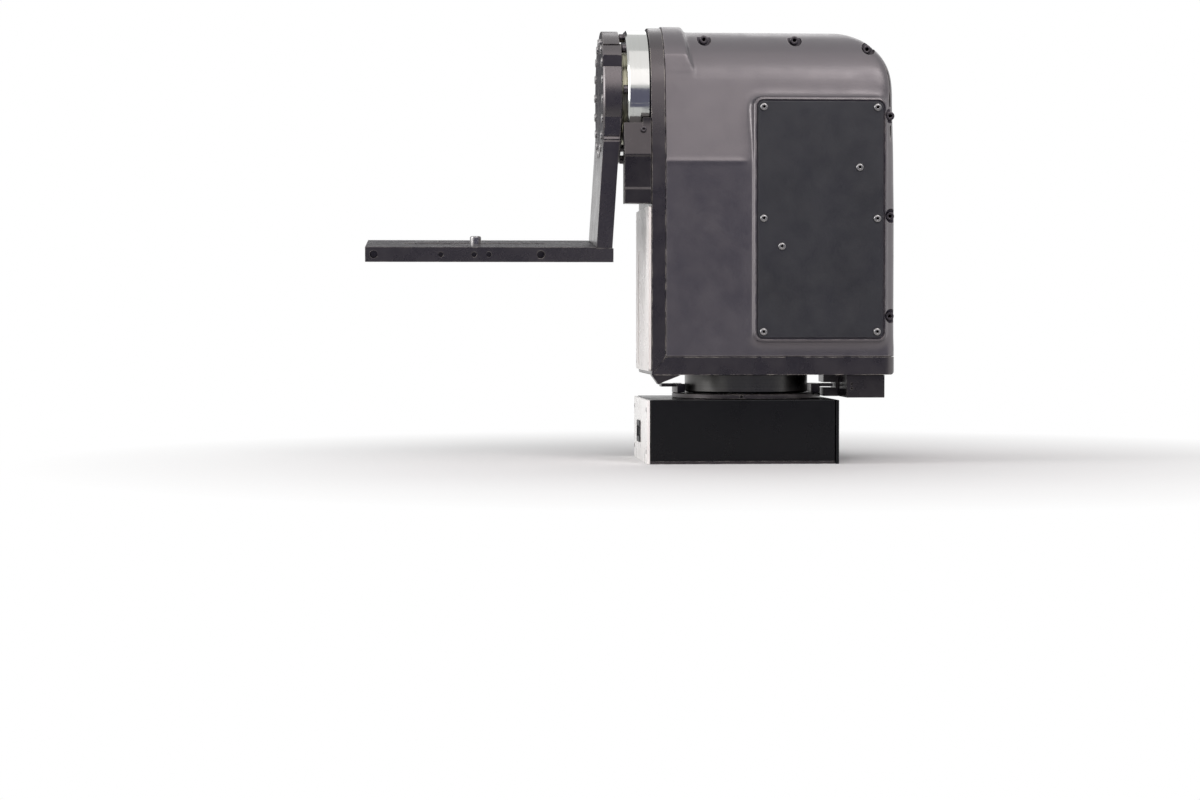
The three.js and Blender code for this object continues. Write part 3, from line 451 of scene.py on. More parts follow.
def make_materials():
    """All the finishes of the head. Dielectric coats keep an IOR of 1.5 unless noted."""
    MATERIALS.update(
        # Satin polyurethane paint on a sand casting: warm dark grey, soft wide highlights and the
        # casting's fine orange peel, drawn at 1.6 mm so that it shows.
        cover=coated(
            "satin_cover_paint", "#302f34", "#36353a", "#8f8a88", 0.34, 1.6, 0.02, 0.75, 1.0, 0.42,
            **satin(1.0, IOR=1.6),
        ),
        # Black anodised aluminium plate: bead blasted, so a tight satin sheen, with pale edges that are
        # partly real rubbing and partly a painted edge highlight.
        frame=coated(
            "black_anodised_plate", "#0b0a0e", "#111014", "#bab4aa", 0.29, 1.4, 0.012, 0.75, 0.9,
            0.43, **satin(0.8, IOR=1.6),
        ),
        # The same anodising, darker, on the small blocks.
        block=coated(
            "black_anodised_block", "#0c0b0d", "#121113", "#8b8781", 0.3, 1.4, 0.012, 0.6, 0.6, 0.42,
            **satin(0.75),
        ),
        # The same anodising on the camera bracket.
        bracket=coated(
            "black_anodised_bracket", "#131215", "#1a191c", "#9b968e", 0.28, 1.4, 0.012, 0.6, 0.6,
            0.42, **satin(1.0, IOR=1.6),
        ),
        # Powder coat with a fine sand texture on the access plate: even, darker and less shiny.
        plate=coated(
            "textured_powder_coat", "#17171b", "#1d1d22", "#6f6c70", 0.42, 1.3, 0.02, 0.3, 0.3,
            Specular_IOR_Level=0.8,
        ),
        # Satin black stove enamel on the base box.
        base=coated(
            "satin_black_enamel", "#050507", "#08080b", "#3a383c", 0.3, 1.5, 0.01, 0.3, 0.4, IOR=1.33,
        ),
        # Pale grey lacquer on sheet: smooth, with a soft gloss.
        lacquer=coated(
            "pale_grey_lacquer", "#ddd7d3", "#e8e3e0", "#c9c2bd", 0.3, 2.2, 0.006, 0.1, 0.4,
        ),
        # The same lacquer on the base panel, paler.
        pale=coated("white_lacquer", "#efece9", "#f6f4f2", "#d8d3cf", 0.3, 2.2, 0.006, 0.1, 0.4),
        # Bright aluminium, finely turned: rings of about 0.1 mm, drawn at 0.7 mm so that they show.
        ring=machined("bright_turned_aluminium", "#b7b8b5", "#babbb9", 0.12, 0.7, "X", TILT_Z, 0.0003),
        # Tan chromate conversion coat on turned aluminium.
        adapter=machined("tan_chromated_aluminium", "#a5a28b", "#b9b7a2", 0.34, 0.9, "X", TILT_Z),
        # Hard anodised drum, turned: dark grey with streaks round the axis.
        drum=machined("grey_hard_anodised_drum", "#484746", "#585756", 0.3, 1.0, "Z"),
        # Milled aluminium of the drive parts: pale, with faint cutter lines.
        drive=drawn_metal("machined_drive_aluminium", "#9c9c9e", "#b4b4b6", 0.32, 1.2, (1, 1, 6)),
        # Ground bearing steel: bright, with fine lines along the grind.
        bearing=drawn_metal("ground_bearing_steel", "#a3a3a5", "#bcbcbe", 0.22, 0.8, (6, 1, 1)),
        # Zinc plated sheet of the board tray: pale and slightly cloudy.
        tray=drawn_metal("zinc_plated_tray", "#a5a7a6", "#bfc2bf", 0.35, 2.5),
        # Black oxide on socket cap screws: oily dark steel with brighter rims.
        oxide=drawn_metal("black_oxide_screw_steel", "#4e4a4c", "#686366", 0.36, 0.6),
        # Stainless steel button screws: bright turned heads.
        screw=drawn_metal("stainless_screw_steel", "#8b8989", "#a5a3a3", 0.27, 0.6),
        # Moulded rubber of belts and seal: dull, deep black.
        rubber=moulded("black_seal_rubber", "#131313", "#1c1c1c", 0.8, 0.8, 0.02),
        # Injection moulded nylon: black with a soft sheen.
        plastic=moulded("black_moulded_nylon", "#19191b", "#222224", 0.5, 0.7, 0.015),
        # Sprayed enamel of the motors: smooth black.
        motor=moulded("black_motor_enamel", "#16161a", "#212126", 0.4, 1.2, 0.01),
        # Solder mask on the boards: green under a clear gloss.
        board=moulded(
            "green_solder_mask", "#12452a", "#1c5a38", 0.35, 2.4, 0.006, Coat_Weight=0.4,
        ),
    )


# Sizes and colours that a user would change


def length(name, text, millimetres):
    return FloatProperty(name=name, description=text, unit="LENGTH", default=millimetres * MM)


def power(name, text, default):
    return FloatProperty(name=name, description=text, unit="POWER", default=default)


def colour(name, text, *default):
    return FloatVectorProperty(name=name, description=text, subtype="COLOR", default=default)


class HeadSizes(bpy.types.PropertyGroup):
    """Sizes of the head's finished pieces."""

    cover_radius: length("Cover radius", "Round top of the covers", 54.7)
    collar_radius: length("Collar radius", "Collar over the tilt bearing", 59.1)
    corner_radius: length("Corner radius", "Upper right corner of the covers", 47)
    side_radius: length("Side radius", "Upright corners of the covers", 11)
    cover_wall: length("Cover wall", "Wall of the castings", 3)
    cover_grain: length("Cover mesh", "Edge length of the covers' mesh", 1.3)
    plate_radius: length("Side plate radius", "Round top of the side plate", 58)
    edge: length("Edge", "Broken edge of machined plates", 0.7)
    hub_bolts: IntProperty(name="Hub bolts", description="Screws on the bracket's end", default=18)
    ring_bolts: IntProperty(name="Ring bolts", description="Screws on the tilt ring", default=8)


class StageSettings(bpy.types.PropertyGroup):
    """Floor, light and camera."""

    floor_colour: colour("Floor", "Colour of the floor", 0.84, 0.84, 0.84)
    card_colour: colour("Card", "Dark card that flat faces reflect", 0.19, 0.19, 0.27)
    rear_colour: colour("Rear card", "Darker cards behind and on the floor", 0.10, 0.10, 0.11)
    key_tint: colour("Key tint", "Colour of the high softboxes", 1.0, 0.925, 0.93)
    key_power: power("Key", "Power of the high softbox", 10.5)
    fill_power: power("Fill", "Power of the light that gives no highlights", 37)
    top_power: power("Top", "Power of the overhead softbox", 6)
    corner_power: power("Corner", "Power of the small softbox that the round corner reflects", 6.8)
    left_power: power("Left", "Power of the left softbox", 34)
    right_power: power("Right", "Power of the right softbox", 2)
    back_power: power("Back", "Power of the rear softbox", 10)
    world_strength: FloatProperty(name="World", description="Light from all round", default=0.22)
    lens: FloatProperty(name="Lens", description="Focal length", unit="CAMERA", default=78)


def sizes():
    return bpy.context.scene.pan_tilt_sizes


def in_mm(name):
    """A length among the sizes, in millimetres."""
    return getattr(sizes(), name) / MM


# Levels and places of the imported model

TILT = TILT_Z / MM
TILT_AXIS = (0, 0, TILT)
HEAD_LOW, HEAD_HIGH = node_box("head_side_plate")
FLOOR_LOW, FLOOR_HIGH = node_box("head_floor_plate")
COVER_LOW, COVER_HIGH = node_box("front_cover")
PLATE_LOW, PLATE_HIGH = node_box("access_plate")
# Half depth of the head, right face of its covers and level of the crease in their flanks
HALF = -HEAD_LOW[1]
RIGHT = COVER_HIGH[0]
CREASE = 244.0
# Gap between faces that would otherwise share a plane
SEAT = 0.3
# X, Z and depth of the seat of the cap screws
CAP_SCREWS = [(-38.5, 345.1, 25), (36, 345.1, 25), (95.8, 338.1, 25)]
CAP_SCREWS += [(110.2, 119.5 + 81 * row, 54) for row in (2, 1, 0)]
CAP_PLACES = [(x, 0, z) for x, z, _ in CAP_SCREWS]
PLATE_SCREWS = [[sum(pair) / 2 for pair in zip(*node_box(f"plate_screw_{i}"))] for i in range(1, 9)]
PLATE_PLACES = [(x, 0, z) for x, _, z in PLATE_SCREWS]


def lean_angle(depth, radius):
    """Angle in degrees between the upright and the flank from the crease to a round top."""
    rise = TILT - CREASE
    return 90 - math.degrees(math.atan2(rise, depth) + math.asin(radius / math.hypot(depth, rise)))


def side_outline(depth, floor, radius, steps=48):
    """Side profile: upright faces, a lean above the crease and a round top on the tilt axis."""
    turn = 90 - lean_angle(depth, radius)
    top = arc(0, TILT, radius, 90 - turn, 90 + turn, steps)
    return [(-depth, floor), (depth, floor), (depth, CREASE)] + top + [(-depth, CREASE)]


def plan_outline(left, inset=0.0, steps=10):
    """Plan with round corners on the right."""
    right, half, radius = RIGHT - inset, HALF - inset, in_mm("side_radius") - inset
    points = [(left, -half)] + arc(right - radius, radius - half, radius, -90, 0, steps)
    return points + arc(right - radius, half - radius, radius, 0, 90, steps) + [(left, half)]


def corner_outline(left, floor, inset=0.0, steps=24):
    """Front view with the large round corner."""
    radius = in_mm("corner_radius") - inset
    right, top = RIGHT - inset, TILT + in_mm("cover_radius") - inset
    points = [(left, floor), (right, floor)]
    return points + arc(right - radius, top - radius, radius, 0, 90, steps) + [(left, top + 8)]


def cover_form(name, left, floor, inset=0.0):
    """The covers' body as a solid: profile, front view and plan in one."""
    outline = side_outline(HALF - inset, floor, in_mm("cover_radius") - inset)
    form = prism(name, "x", outline, left, RIGHT)
    front = prism("front_view", "y", corner_outline(left - 2, floor - 2, inset), -HALF - 2, HALF + 2)
    plan = prism("plan", "z", plan_outline(left - 2, inset), floor - 2, TILT + 80)
    return boolean(form, "INTERSECT", front, plan)


def slice_off(piece, place, normal):
    """Cuts away what lies beyond a plane and closes the cut."""
    edit(piece)
    bpy.ops.mesh.bisect(
        plane_co=[v * MM for v in place], plane_no=normal, use_fill=True, clear_outer=True,
    )
    return leave(piece)


def clamp(value):
    return max(0.0, min(1.0, value))


def smoothed_near(piece, weight, iterations, factor=0.5):
    """Smooths a mesh where a weight in 0 to 1 of the place in millimetres says."""
    group = piece.vertex_groups.new(name="soft")
    for vertex in piece.data.vertices:
        share = weight(vertex.co / MM)
        if share > 0.01:
            group.add([vertex.index], share, "REPLACE")
    apply_modifier(piece, "SMOOTH", factor=factor, iterations=iterations, vertex_group="soft")
    piece.vertex_groups.remove(piece.vertex_groups["soft"])


# Tangent of the flank's lean above the crease, and how deep the smoothing of its long edge goes
LEAN = math.tan(math.radians(10.6))
EDGE_DEPTH = 30


def near_corner(co):
    """1 at the long edge between the lean and the round corner, 0 far from it."""
    if co.x < 20 or co.z < CREASE - 40:
        return 0.0
    radius = in_mm("corner_radius")
    top = TILT + in_mm("cover_radius")
    cx, cz = RIGHT - radius, top - radius
    if co.x > cx and co.z > cz:
        rim = radius - math.hypot(co.x - cx, co.z - cz)
    elif co.z > cz:
        rim = top - co.z
    else:
        rim = RIGHT - co.x
    face = HALF - abs(co.y) - max(0.0, co.z - CREASE) * LEAN
    reach = min(1.0, (co.x - 20) / 50) * min(1.0, (co.z - CREASE + 40) / 60)
    return clamp(1.2 - max(rim, face) / EDGE_DEPTH) * reach


def make_collar(side):
    """Raised band over the tilt bearing, flush with the lean, whose run-out widens down it."""
    # The band ends at x -58. Its run-out reaches x -52 at the top and widens below 66 degrees.
    high, low = in_mm("collar_radius"), in_mm("cover_radius") - 1.5
    profile = [(10, -92), (high, -92), (high, -75), (high, -58)]
    for share in [i / 10 for i in range(11)]:
        ease = share * share * (3 - 2 * share)
        profile.append((high + (low - high) * ease, -56.4 + 4.4 * share))
    profile.append((10, -52))
    piece = turned("collar", "x", profile, TILT_AXIS, 120)
    for vertex in piece.data.vertices:
        x, y, z = vertex.co / MM
        if x > -57.5 and math.hypot(y, z - TILT) > 40:
            rise = math.degrees(math.atan2(z - TILT, abs(y)))
            vertex.co.x += (x + 59.5) * 0.8 * clamp((66 - rise) / 46) ** 1.5 * MM
    slice_off(piece, (0, -side * 8, 0), (0, -side, 0))
    lean = math.radians(lean_angle(HALF, in_mm("cover_radius")))
    return slice_off(piece, (0, side * HALF, CREASE), (0, side * math.cos(lean), math.sin(lean)))


def crease_bead(piece):
    """Raises the crease of the front cover by a soft bead that ends at the pad's flank."""
    for vertex in piece.data.vertices:
        x, y, z = vertex.co / MM
        if y < -HALF / 2 and abs(z - CREASE) < 8:
            vertex.co.y -= 0.45 * clamp((-5 - x) / 6) * math.exp(-((z - CREASE) / 1.8) ** 2) * MM


# Box of the pad's front face in X and Z, and the radius of its corners
PAD_X = (PLATE_LOW[0] - 2.3, PLATE_HIGH[0] + 2.2)
PAD_Z = (PLATE_LOW[2] - 2.2, PLATE_HIGH[2] + 2.2)
PAD_CORNER = 7.4


def make_pad():
    """Raised field round the access plate, with a rounded rim and steep flanks."""
    front = -HALF - 4
    place = front + 0.3
    piece = prism("pad", "y", rounded(*PAD_X, *PAD_Z, PAD_CORNER, 10), front, place)
    centre = [sum(PAD_X) / 2 * MM, 0, sum(PAD_Z) / 2 * MM]
    width, height = PAD_X[1] - PAD_X[0], PAD_Z[1] - PAD_Z[0]
    last = 0
    for back, grow in ((0.7, 0.35), (1.4, 0.5), (13, 0.8)):
        pick(piece, "FACE", lambda face: face.normal.y > 0.9)
        bpy.ops.mesh.extrude_region_move(
            TRANSFORM_OT_translate={"value": (0, (front + back - place) * MM, 0)},
        )
        wide, tall = (width + 2 * grow) / (width + 2 * last), (height + 2 * grow) / (height + 2 * last)
        bpy.ops.transform.resize(value=(wide, 1, tall), center_override=centre)
        place, last = front + back, grow
        leave(piece)
    return piece


def pad_foot(co):
    """1 in a ring round the pad's foot, 0 on the pad and far from it."""
    dx = max(PAD_X[0] + PAD_CORNER - co.x, co.x - PAD_X[1] + PAD_CORNER, 0)
    dz = max(PAD_Z[0] + PAD_CORNER - co.z, co.z - PAD_Z[1] + PAD_CORNER, 0)
    away = math.hypot(dx, dz) - PAD_CORNER
    if co.y > -40 or away < 0.55:
        return 0.0
    return clamp((away - 0.55) / 0.6) * clamp((12 - away) / 5)


def eased_edge(piece, axis, place, width=0.8):
    """Rounds the outer skin over a short way above the place of a later cut across an axis."""
    along = "xyz".index(axis)
    normal, spot = [0, 0, 0], [0, 0, 0]
    normal[along] = 1
    for share in (0, 0.25, 1):
        spot[along] = (place + share * width) * MM
        edit(piece)
        bpy.ops.mesh.bisect(plane_co=spot, plane_no=normal)
        leave(piece)
    for vertex in piece.data.vertices:
        share = (vertex.co[along] / MM - place) / width
        if -0.01 < share < 1:
            away = vertex.normal.copy()
            away[along] = 0
            drop = width * (1 - math.sqrt(max(0.0, 1 - (1 - share) ** 2)))
            vertex.co -= away.normalized() * drop * MM


def make_cover(name, side, mesh_size, corner_steps, even_steps, pad=False):
    """Casting of the front (side -1) or the rear (side 1), with its inside and its seams."""
    left, floor = COVER_LOW[0], COVER_LOW[2]
    cover = cover_form(name, left - 14, floor - 14)
    slice_off(cover, (0, -side * 8, 0), (0, -side, 0))
    apply_modifier(cover, "REMESH", mode="VOXEL", voxel_size=mesh_size)
    smoothed_near(cover, near_corner, corner_steps)
    parts = [cover, make_collar(side)]
    if pad:
        parts.append(make_pad())
    joined(name, parts)
    apply_modifier(cover, "REMESH", mode="VOXEL", voxel_size=mesh_size)
    if pad:
        smoothed_near(cover, pad_foot, 90)
    smoothed_near(cover, lambda co: 1.0, even_steps)
    if pad:
        crease_bead(cover)
    eased_edge(cover, "x", left)
    eased_edge(cover, "z", floor)
    slice_off(cover, (left, 0, 0), (-1, 0, 0))
    slice_off(cover, (0, 0, floor), (0, 0, -1))
    slice_off(cover, (0, -side * COVER_HIGH[1], 0), (0, -side, 0))
    hollow = cover_form("hollow", left - 2, floor - 2, in_mm("cover_wall"))
    bosses = [rod("boss", "y", 7.6, -seat - 4, 15, (x, 0, z), 32) for x, z, seat in CAP_SCREWS]
    return cut(cover, cut(hollow, joined("bosses", bosses)))


class PANTILT_OT_covers(bpy.types.Operator):
    """Casts the front and rear cover with collar, pad, rebate and screw pockets"""

    bl_idname = "pan_tilt.covers"
    bl_label = "Covers"

    def execute(self, context):
        grain_m = sizes().cover_grain
        cover = make_cover("front_casting", -1, grain_m, 260, 4, pad=True)
        low, high = PLATE_LOW, PLATE_HIGH
        rebate = pane("rebate", "y", low, high, 0.6, 5.8, -HALF - 8, -67)
        window = pane("window", "y", low, high, -12, 5, -HALF - 6, -40)
        holes = rods("y", 1.8, -HALF - 6, PLATE_LOW[1] + 8, PLATE_PLACES, 24)
        pockets, shanks = [], []
        for place, (_, _, seat) in zip(CAP_PLACES, CAP_SCREWS):
            pockets.append(rod("pocket", "y", 5.8, -HALF - 8, -seat, place, 48))
            shanks.append(rod("shank", "y", 2.3, -seat - 1, 2, place, 24))
        cut(cover, rebate, holes, window, joined("pockets", pockets), joined("shanks", shanks))
        finish_piece(cover, "cover", "head", "front_cover")
        cover = make_cover("rear_casting", 1, grain_m * 1.3, 150, 3)
        low, high = node_box("connector_panel")
        cut(cover, pane("window", "y", low, high, -8, 4, 40, HALF + 4))
        finish_piece(cover, "cover", "head", "rear_cover")
        return {"FINISHED"}


class PANTILT_OT_plates(bpy.types.Operator):
    """Side plate and floor plate, which meet in a mitre at the lower left corner"""

    bl_idname = "pan_tilt.plates"
    bl_label = "Frame plates"

    def execute(self, context):
        edge = in_mm("edge")
        left, right = HEAD_LOW[0], HEAD_HIGH[0]
        low, top = FLOOR_LOW[2], FLOOR_HIGH[2]
        outline = side_outline(HALF, low, in_mm("plate_radius"))
        side = prism("side_plate", "x", outline, left, right)
        pick(side, "EDGE", lambda item: all(abs(v.co.x / MM - left) < 0.01 for v in item.verts))
        bpy.ops.mesh.bevel(offset=1.1 * MM, offset_type="OFFSET", segments=2)
        leave(side)
        run = (top - low) / (right - left)
        mitre = prism("mitre", "y", [
            (left - 1, low - run), (left - 1, low - 9), (right + 2, low - 9), (right + 2, top + 2 * run),
        ], -HALF - 2, HALF + 2)
        cut(side, mitre, rod("bore", "x", 24.6, left - 2, right + 2, TILT_AXIS, 96))
        finish_piece(side, "frame", "head", "head_side_plate", edge=(edge, 3, 35))
        outline = [(FLOOR_LOW[0], low)] + arc(RIGHT - 4, low + 4, 4, -90, 0, 8)
        floor = prism("floor_plate", "y", outline + [(RIGHT, top), (right + SEAT, top)], -HALF, HALF)
        boolean(floor, "INTERSECT", prism("plan", "z", plan_outline(left - 2), low - 2, top + 2))
        cut(floor, rod("bore", "z", 24.3, low - 2, top + 2, facets=96))
        finish_piece(floor, "frame", "head", "head_floor_plate", edge=(edge, 3, 35))
        return {"FINISHED"}


# Half width of the head, its height, radius of the shank, its length and half width of the socket
LONG_CAP = (3.5, 4, 2, 28, 1.6)
SHORT_CAP = (3.5, 3.4, 2, 3, 1.6)
BUTTON = (3.1, 1.7, 1.6, 7.4, 1.35)


def socket_screw(name, shape, dome=False):
    """Screw along Y with its head's seat at the origin: cap or domed head, six sided socket."""
    head, height, shank, length, key = shape
    profile = [(0, length), (shank, length), (shank, 0)]
    if dome:
        angles = [math.radians(15 * i) for i in range(1, 7)]
        profile += [(head * 0.97, 0), (head, -height * 0.2)]
        profile += [
            (head * (0.5 + 0.5 * math.cos(a)), -height * (0.25 + 0.75 * math.sin(a))) for a in angles
        ]
    else:
        profile += [(head * 0.95, 0), (head, -0.25), (head, 0.45 - height), (head - 0.15, 0.2 - height)]
        profile.append((head - 0.45, -height))
    profile += [(key + 0.2, -height), (key, 0.2 - height), (key, min(2.0, length * 0.3))]
    profile.append((0, min(4.4, length * 0.6)))
    screw = turned(name, "y", profile, steps=36, closed=False)
    for vertex in screw.data.vertices:
        x, _, z = vertex.co / MM
        if key * 0.5 < math.hypot(x, z) < key + 0.1:
            turn = math.atan2(z, x) % (math.pi / 3) - math.pi / 6
            flat = math.cos(math.pi / 6) / math.cos(turn)
            vertex.co.x *= flat
            vertex.co.z *= flat
    screw.data.update()
    return screw


def set_screw(name, shape, way, place, finish, body, dome=True):
    """Finished screw at a place, its head towards -X, X, -Y or Y."""
    screw = socket_screw(name, shape, dome)
    select_only(screw)
    screw.rotation_euler = (0, 0, {"-x": -math.pi / 2, "x": math.pi / 2, "-y": 0, "y": math.pi}[way])
    screw.location = [v * MM for v in place]
    settle(screw, name)
    if finish:
        finish_piece(screw, finish, body)
    return screw


class PANTILT_OT_access_plate(bpy.types.Operator):
    """Flat plate in the rebate of the front cover"""

    bl_idname = "pan_tilt.access_plate"
    bl_label = "Access plate"

    def execute(self, context):
        span = PLATE_LOW[1], PLATE_HIGH[1]
        plate = pane("access_cover_plate", "y", PLATE_LOW, PLATE_HIGH, -0.9, 4.6, *span, 10)
        cut(plate, rods("y", 1.8, -HALF - 6, -HALF, PLATE_PLACES, 24))
        finish_piece(plate, "plate", "head", "access_plate", edge=(0.5, 3, 40))
        return {"FINISHED"}


class PANTILT_OT_screws(bpy.types.Operator):
    """Cap screws of the covers and button screws of the access plate"""

    bl_idname = "pan_tilt.screws"
    bl_label = "Cover and plate screws"

    def execute(self, context):
        cap = socket_screw("cap_pattern", LONG_CAP)
        for i, (x, z, seat) in enumerate(CAP_SCREWS, 1):
            screw = copied(cap, f"cap_screw_{i}", (x, -seat - SEAT, z))
            finish_piece(screw, "oxide", "head", f"cover_screw_{i}")
        button = socket_screw("button_pattern", BUTTON, dome=True)
        for i, (x, _, z) in enumerate(PLATE_SCREWS, 1):
            screw = copied(button, f"button_screw_{i}", (x, PLATE_LOW[1] - 0.1, z))
            finish_piece(screw, "screw", "head", f"plate_screw_{i}")
        bpy.data.objects.remove(cap)
        bpy.data.objects.remove(button)
        return {"FINISHED"}


class PANTILT_OT_side_panel(bpy.types.Operator):
    """Pale sheet on the left of the head, with a shallow bare field and four small screws"""

    bl_idname = "pan_tilt.side_panel"
    bl_label = "Side panel"

    def execute(self, context):
        low, high = node_box("side_panel")
        face = low[0]
        panel = pane("side_cover_panel", "x", low, high, 0, 3, face, high[0], 6)
        field = prism("field", "x", rounded(-21, 41, 79, 174, 2, 4), face - 1, face + 0.3)
        places = [(0, y, z) for y in (low[1] + 6, high[1] - 6) for z in (low[2] + 6, high[2] - 8)]
        cut(panel, field, rods("x", 1.9, face - 1, face + 1, places, 24))
        finish_piece(panel, "lacquer", "head", "side_panel", edge=(0.3, 2, 40))
        for i, (_, y, z) in enumerate(places, 1):
            place = (face + 1.0, y, z)
            set_screw(f"panel_screw_{i}", (1.7, 1.0, 0.9, 0.9, 0.8), "-x", place, "screw", "head")
        return {"FINISHED"}


class PANTILT_OT_tilt_ring(bpy.types.Operator):
    """Bright ring on the tilt axis, the screws on its face and the adapter in front of it"""

    bl_idname = "pan_tilt.tilt_ring"
    bl_label = "Tilt ring"

    def execute(self, context):
        low, high = node_box("tilt_ring")
        left, right, radius = low[0], high[0], (high[2] - low[2]) / 2
        ring = turned("bright_tilt_ring", "x", [
            (36.3, left + 0.5), (36.8, left), (radius - 1.6, left), (radius, left + 1.6),
            (radius, right - 0.6), (radius - 0.6, right), (32, right), (32, right - 4.5),
            (36.3, right - 4.5),
        ], TILT_AXIS, 160)
        finish_piece(ring, "ring", "head", "tilt_ring", angle=40)
        cap = set_screw("cap_pattern", SHORT_CAP, "-x", (0, 0, 0), None, None, dome=False)
        circle, count = 50.4, sizes().ring_bolts
        for i in range(count):
            angle = math.radians(94 + 360 * i / count)
            y, z = -circle * math.cos(angle), TILT + circle * math.sin(angle)
            # The tilt block covers the lower front of the ring.
            if TILT - z > 40 and y < -20:
                continue
            screw = copied(cap, f"ring_screw_{i + 1}", (left + 0.02, y, z))
            finish_piece(screw, "oxide", "head")
        bpy.data.objects.remove(cap)
        low, high = node_box("tilt_adapter")
        left, right, radius = low[0], high[0], 37.5
        adapter = turned("chromated_adapter", "x", [
            (12, left), (radius - 0.4, left), (radius, left + 0.4), (radius, left + 1.3),
            (radius - 0.7, left + 1.5), (radius - 0.7, left + 1.9), (radius, left + 2.1),
            (radius, right - 0.3), (radius - 0.3, right), (12, right),
        ], TILT_AXIS, 120)
        finish_piece(adapter, "adapter", "camera_bracket", "tilt_adapter")
        return {"FINISHED"}


class PANTILT_OT_tilt_block(bpy.types.Operator):
    """Block under the tilt ring: leaning top, plain middle and a proud foot"""

    bl_idname = "pan_tilt.tilt_block"
    bl_label = "Tilt block"

    def execute(self, context):
        low, high = node_box("tilt_block")
        front, back, foot = low[1], high[1], low[2]
        block = prism("ring_support_block", "x", [
            (front, foot), (back, foot), (back, TILT - 24), (front + 5.5, TILT - 24),
            (front + 0.4, TILT - 49), (front + 0.4, TILT - 50.5), (front + 1.1, TILT - 51.5),
            (front + 1.1, foot + 12.8), (front, foot + 11.4),
        ], low[0], high[0])
        lug = box("lug", (-91, front + 4.8, TILT - 29), (high[0], front + 12, TILT - 20))
        boolean(block, "UNION", lug)
        seat = rod("seat", "x", 56, low[0] - 2, high[0] + 2, TILT_AXIS, 160)
        x, z = -90.5, TILT - 29.5
        cut(block, seat, rod("hole", "y", 2.6, front - 2, front + 3.4, (x, 0, z), 32))
        finish_piece(block, "block", "head", "tilt_block", edge=(0.5, 3, 25))
        shape = (2.3, 2.4, 1.2, 1.2, 1.0)
        set_screw("block_screw", shape, "-y", (x, front + 4.4, z), "oxide", "head", dome=False)
        return {"FINISHED"}


class PANTILT_OT_bracket(bpy.types.Operator):
    """Camera bracket: round end with its ring of screws, raked arm, slotted camera plate and screw"""

    bl_idname = "pan_tilt.bracket"
    bl_label = "Camera bracket"

    def execute(self, context):
        # The arm's left face where it crosses the level of the tilt axis, and its rake
        arm_left, rake = -119.9, 0.0602
        left, right = -122.2, -106.6
        outline = [(arm_left + rake * -12, -12), (arm_left - rake * 120.4, -120.4)]
        outline += [(x + 12.9, z) for x, z in reversed(outline)]
        arm = prism("arm", "y", outline, -53, 53)
        boolean(arm, "UNION", turned("hub", "x", [
            (0, left), (53.8, left), (55, left + 1.2), (55, right - 1.2), (53.8, right), (0, right),
        ], steps=144, closed=False))
        notch = box("notch", (left - 2, -70, 25.9), (right + 2, -42.1, 35.4))
        grooves = [
            prism("groove", "x", [
                (-56, z + 0.7), (-51.2, z + 0.7), (-51.2, z), (-51.96, z), (-53, z - 1.8), (-56, z - 7),
            ], left - 8, right + 2)
            for z in (-33.2, -30)
        ]
        step = prism("step", "x", sector(54.2, 60, 133.1, 13.6), left - 2, right + 2)
        cheeks = [
            box("cheek", (left - 2, -40, 44.3), (left + 0.8, 40, 60)),
            box("cheek", (right - 1.4, -40, 44.3), (right + 2, 40, 60)),
        ]
        count = sizes().hub_bolts
        spots = [math.radians(360 * i / count) for i in range(count)]
        places = [(0, -46 * math.cos(a), 46 * math.sin(a)) for a in spots]
        sunk = left + 2.2
        wells = rods("x", 4, left - 1, sunk, places, 24)
        cut(arm, notch, joined("grooves", grooves), step, joined("cheeks", cheeks), wells)
        soften(arm, 0.5, 3, 32)
        arm.name = "bracket_arm_plate"
        finish_piece(tilt_to_rest(arm), "bracket", "camera_bracket", "bracket_arm")
        cap = set_screw("cap_pattern", SHORT_CAP, "-x", (0, 0, 0), None, None, dome=False)
        for i, (_, y, z) in enumerate(places, 1):
            screw = tilt_to_rest(copied(cap, f"hub_screw_{i}", (sunk, y, z)))
            finish_piece(screw, "screw", "camera_bracket")
        bpy.data.objects.remove(cap)
        right, top, thick = -113.3, -119.7, 12.2
        left = right - 201
        plate = box("camera_base_plate", (left, -53, top - thick), (right, 53, top))
        edge = arm_left + rake * top - 0.3
        seat = box("seat", (edge, -55, top - 1), (right + 2, 55, top + 2))
        mid, ledge = left + 90, top - thick + 6.5
        slot = rounded(mid - 60, mid + 60, -5.25, 5.25, 5.24, 10)
        counter = rounded(mid - 62.7, mid + 62.7, -8, 8, 7.99, 10)
        holes = [(left + u, 0, top - 6.1) for u in (7, 142)]
        small = [(left + u, 0, top - 6.1) for u in (61, 88, 100)]
        large, small = rods("y", 3.2, -60, -41, holes, 32), rods("y", 2.1, -60, -45, small, 24)
        cut(
            plate, seat, prism("slot", "z", slot, top - 20, top + 2),
            prism("counter", "z", counter, top - 20, ledge), joined("holes", [large, small]),
        )
        soften(plate, 0.8, 3, 35)
        finish_piece(tilt_to_rest(plate), "bracket", "camera_bracket", "camera_plate")
        low = ledge - SEAT
        screw = turned("camera_fixing_screw", "z", [
            (0, low - 5), (2.5, low - 5), (2.5, low - 2.5), (3.6, low - 2.5), (3.6, low - 5),
            (6.4, low - 5), (7, low - 4.4), (7, low), (4.7, low), (4.7, top + 5), (4.0, top + 6),
            (0, top + 6),
        ], (mid, 0, 0), 48, closed=False)
        finish_piece(tilt_to_rest(screw), "screw", "camera_bracket", "camera_screw")
        return {"FINISHED"}


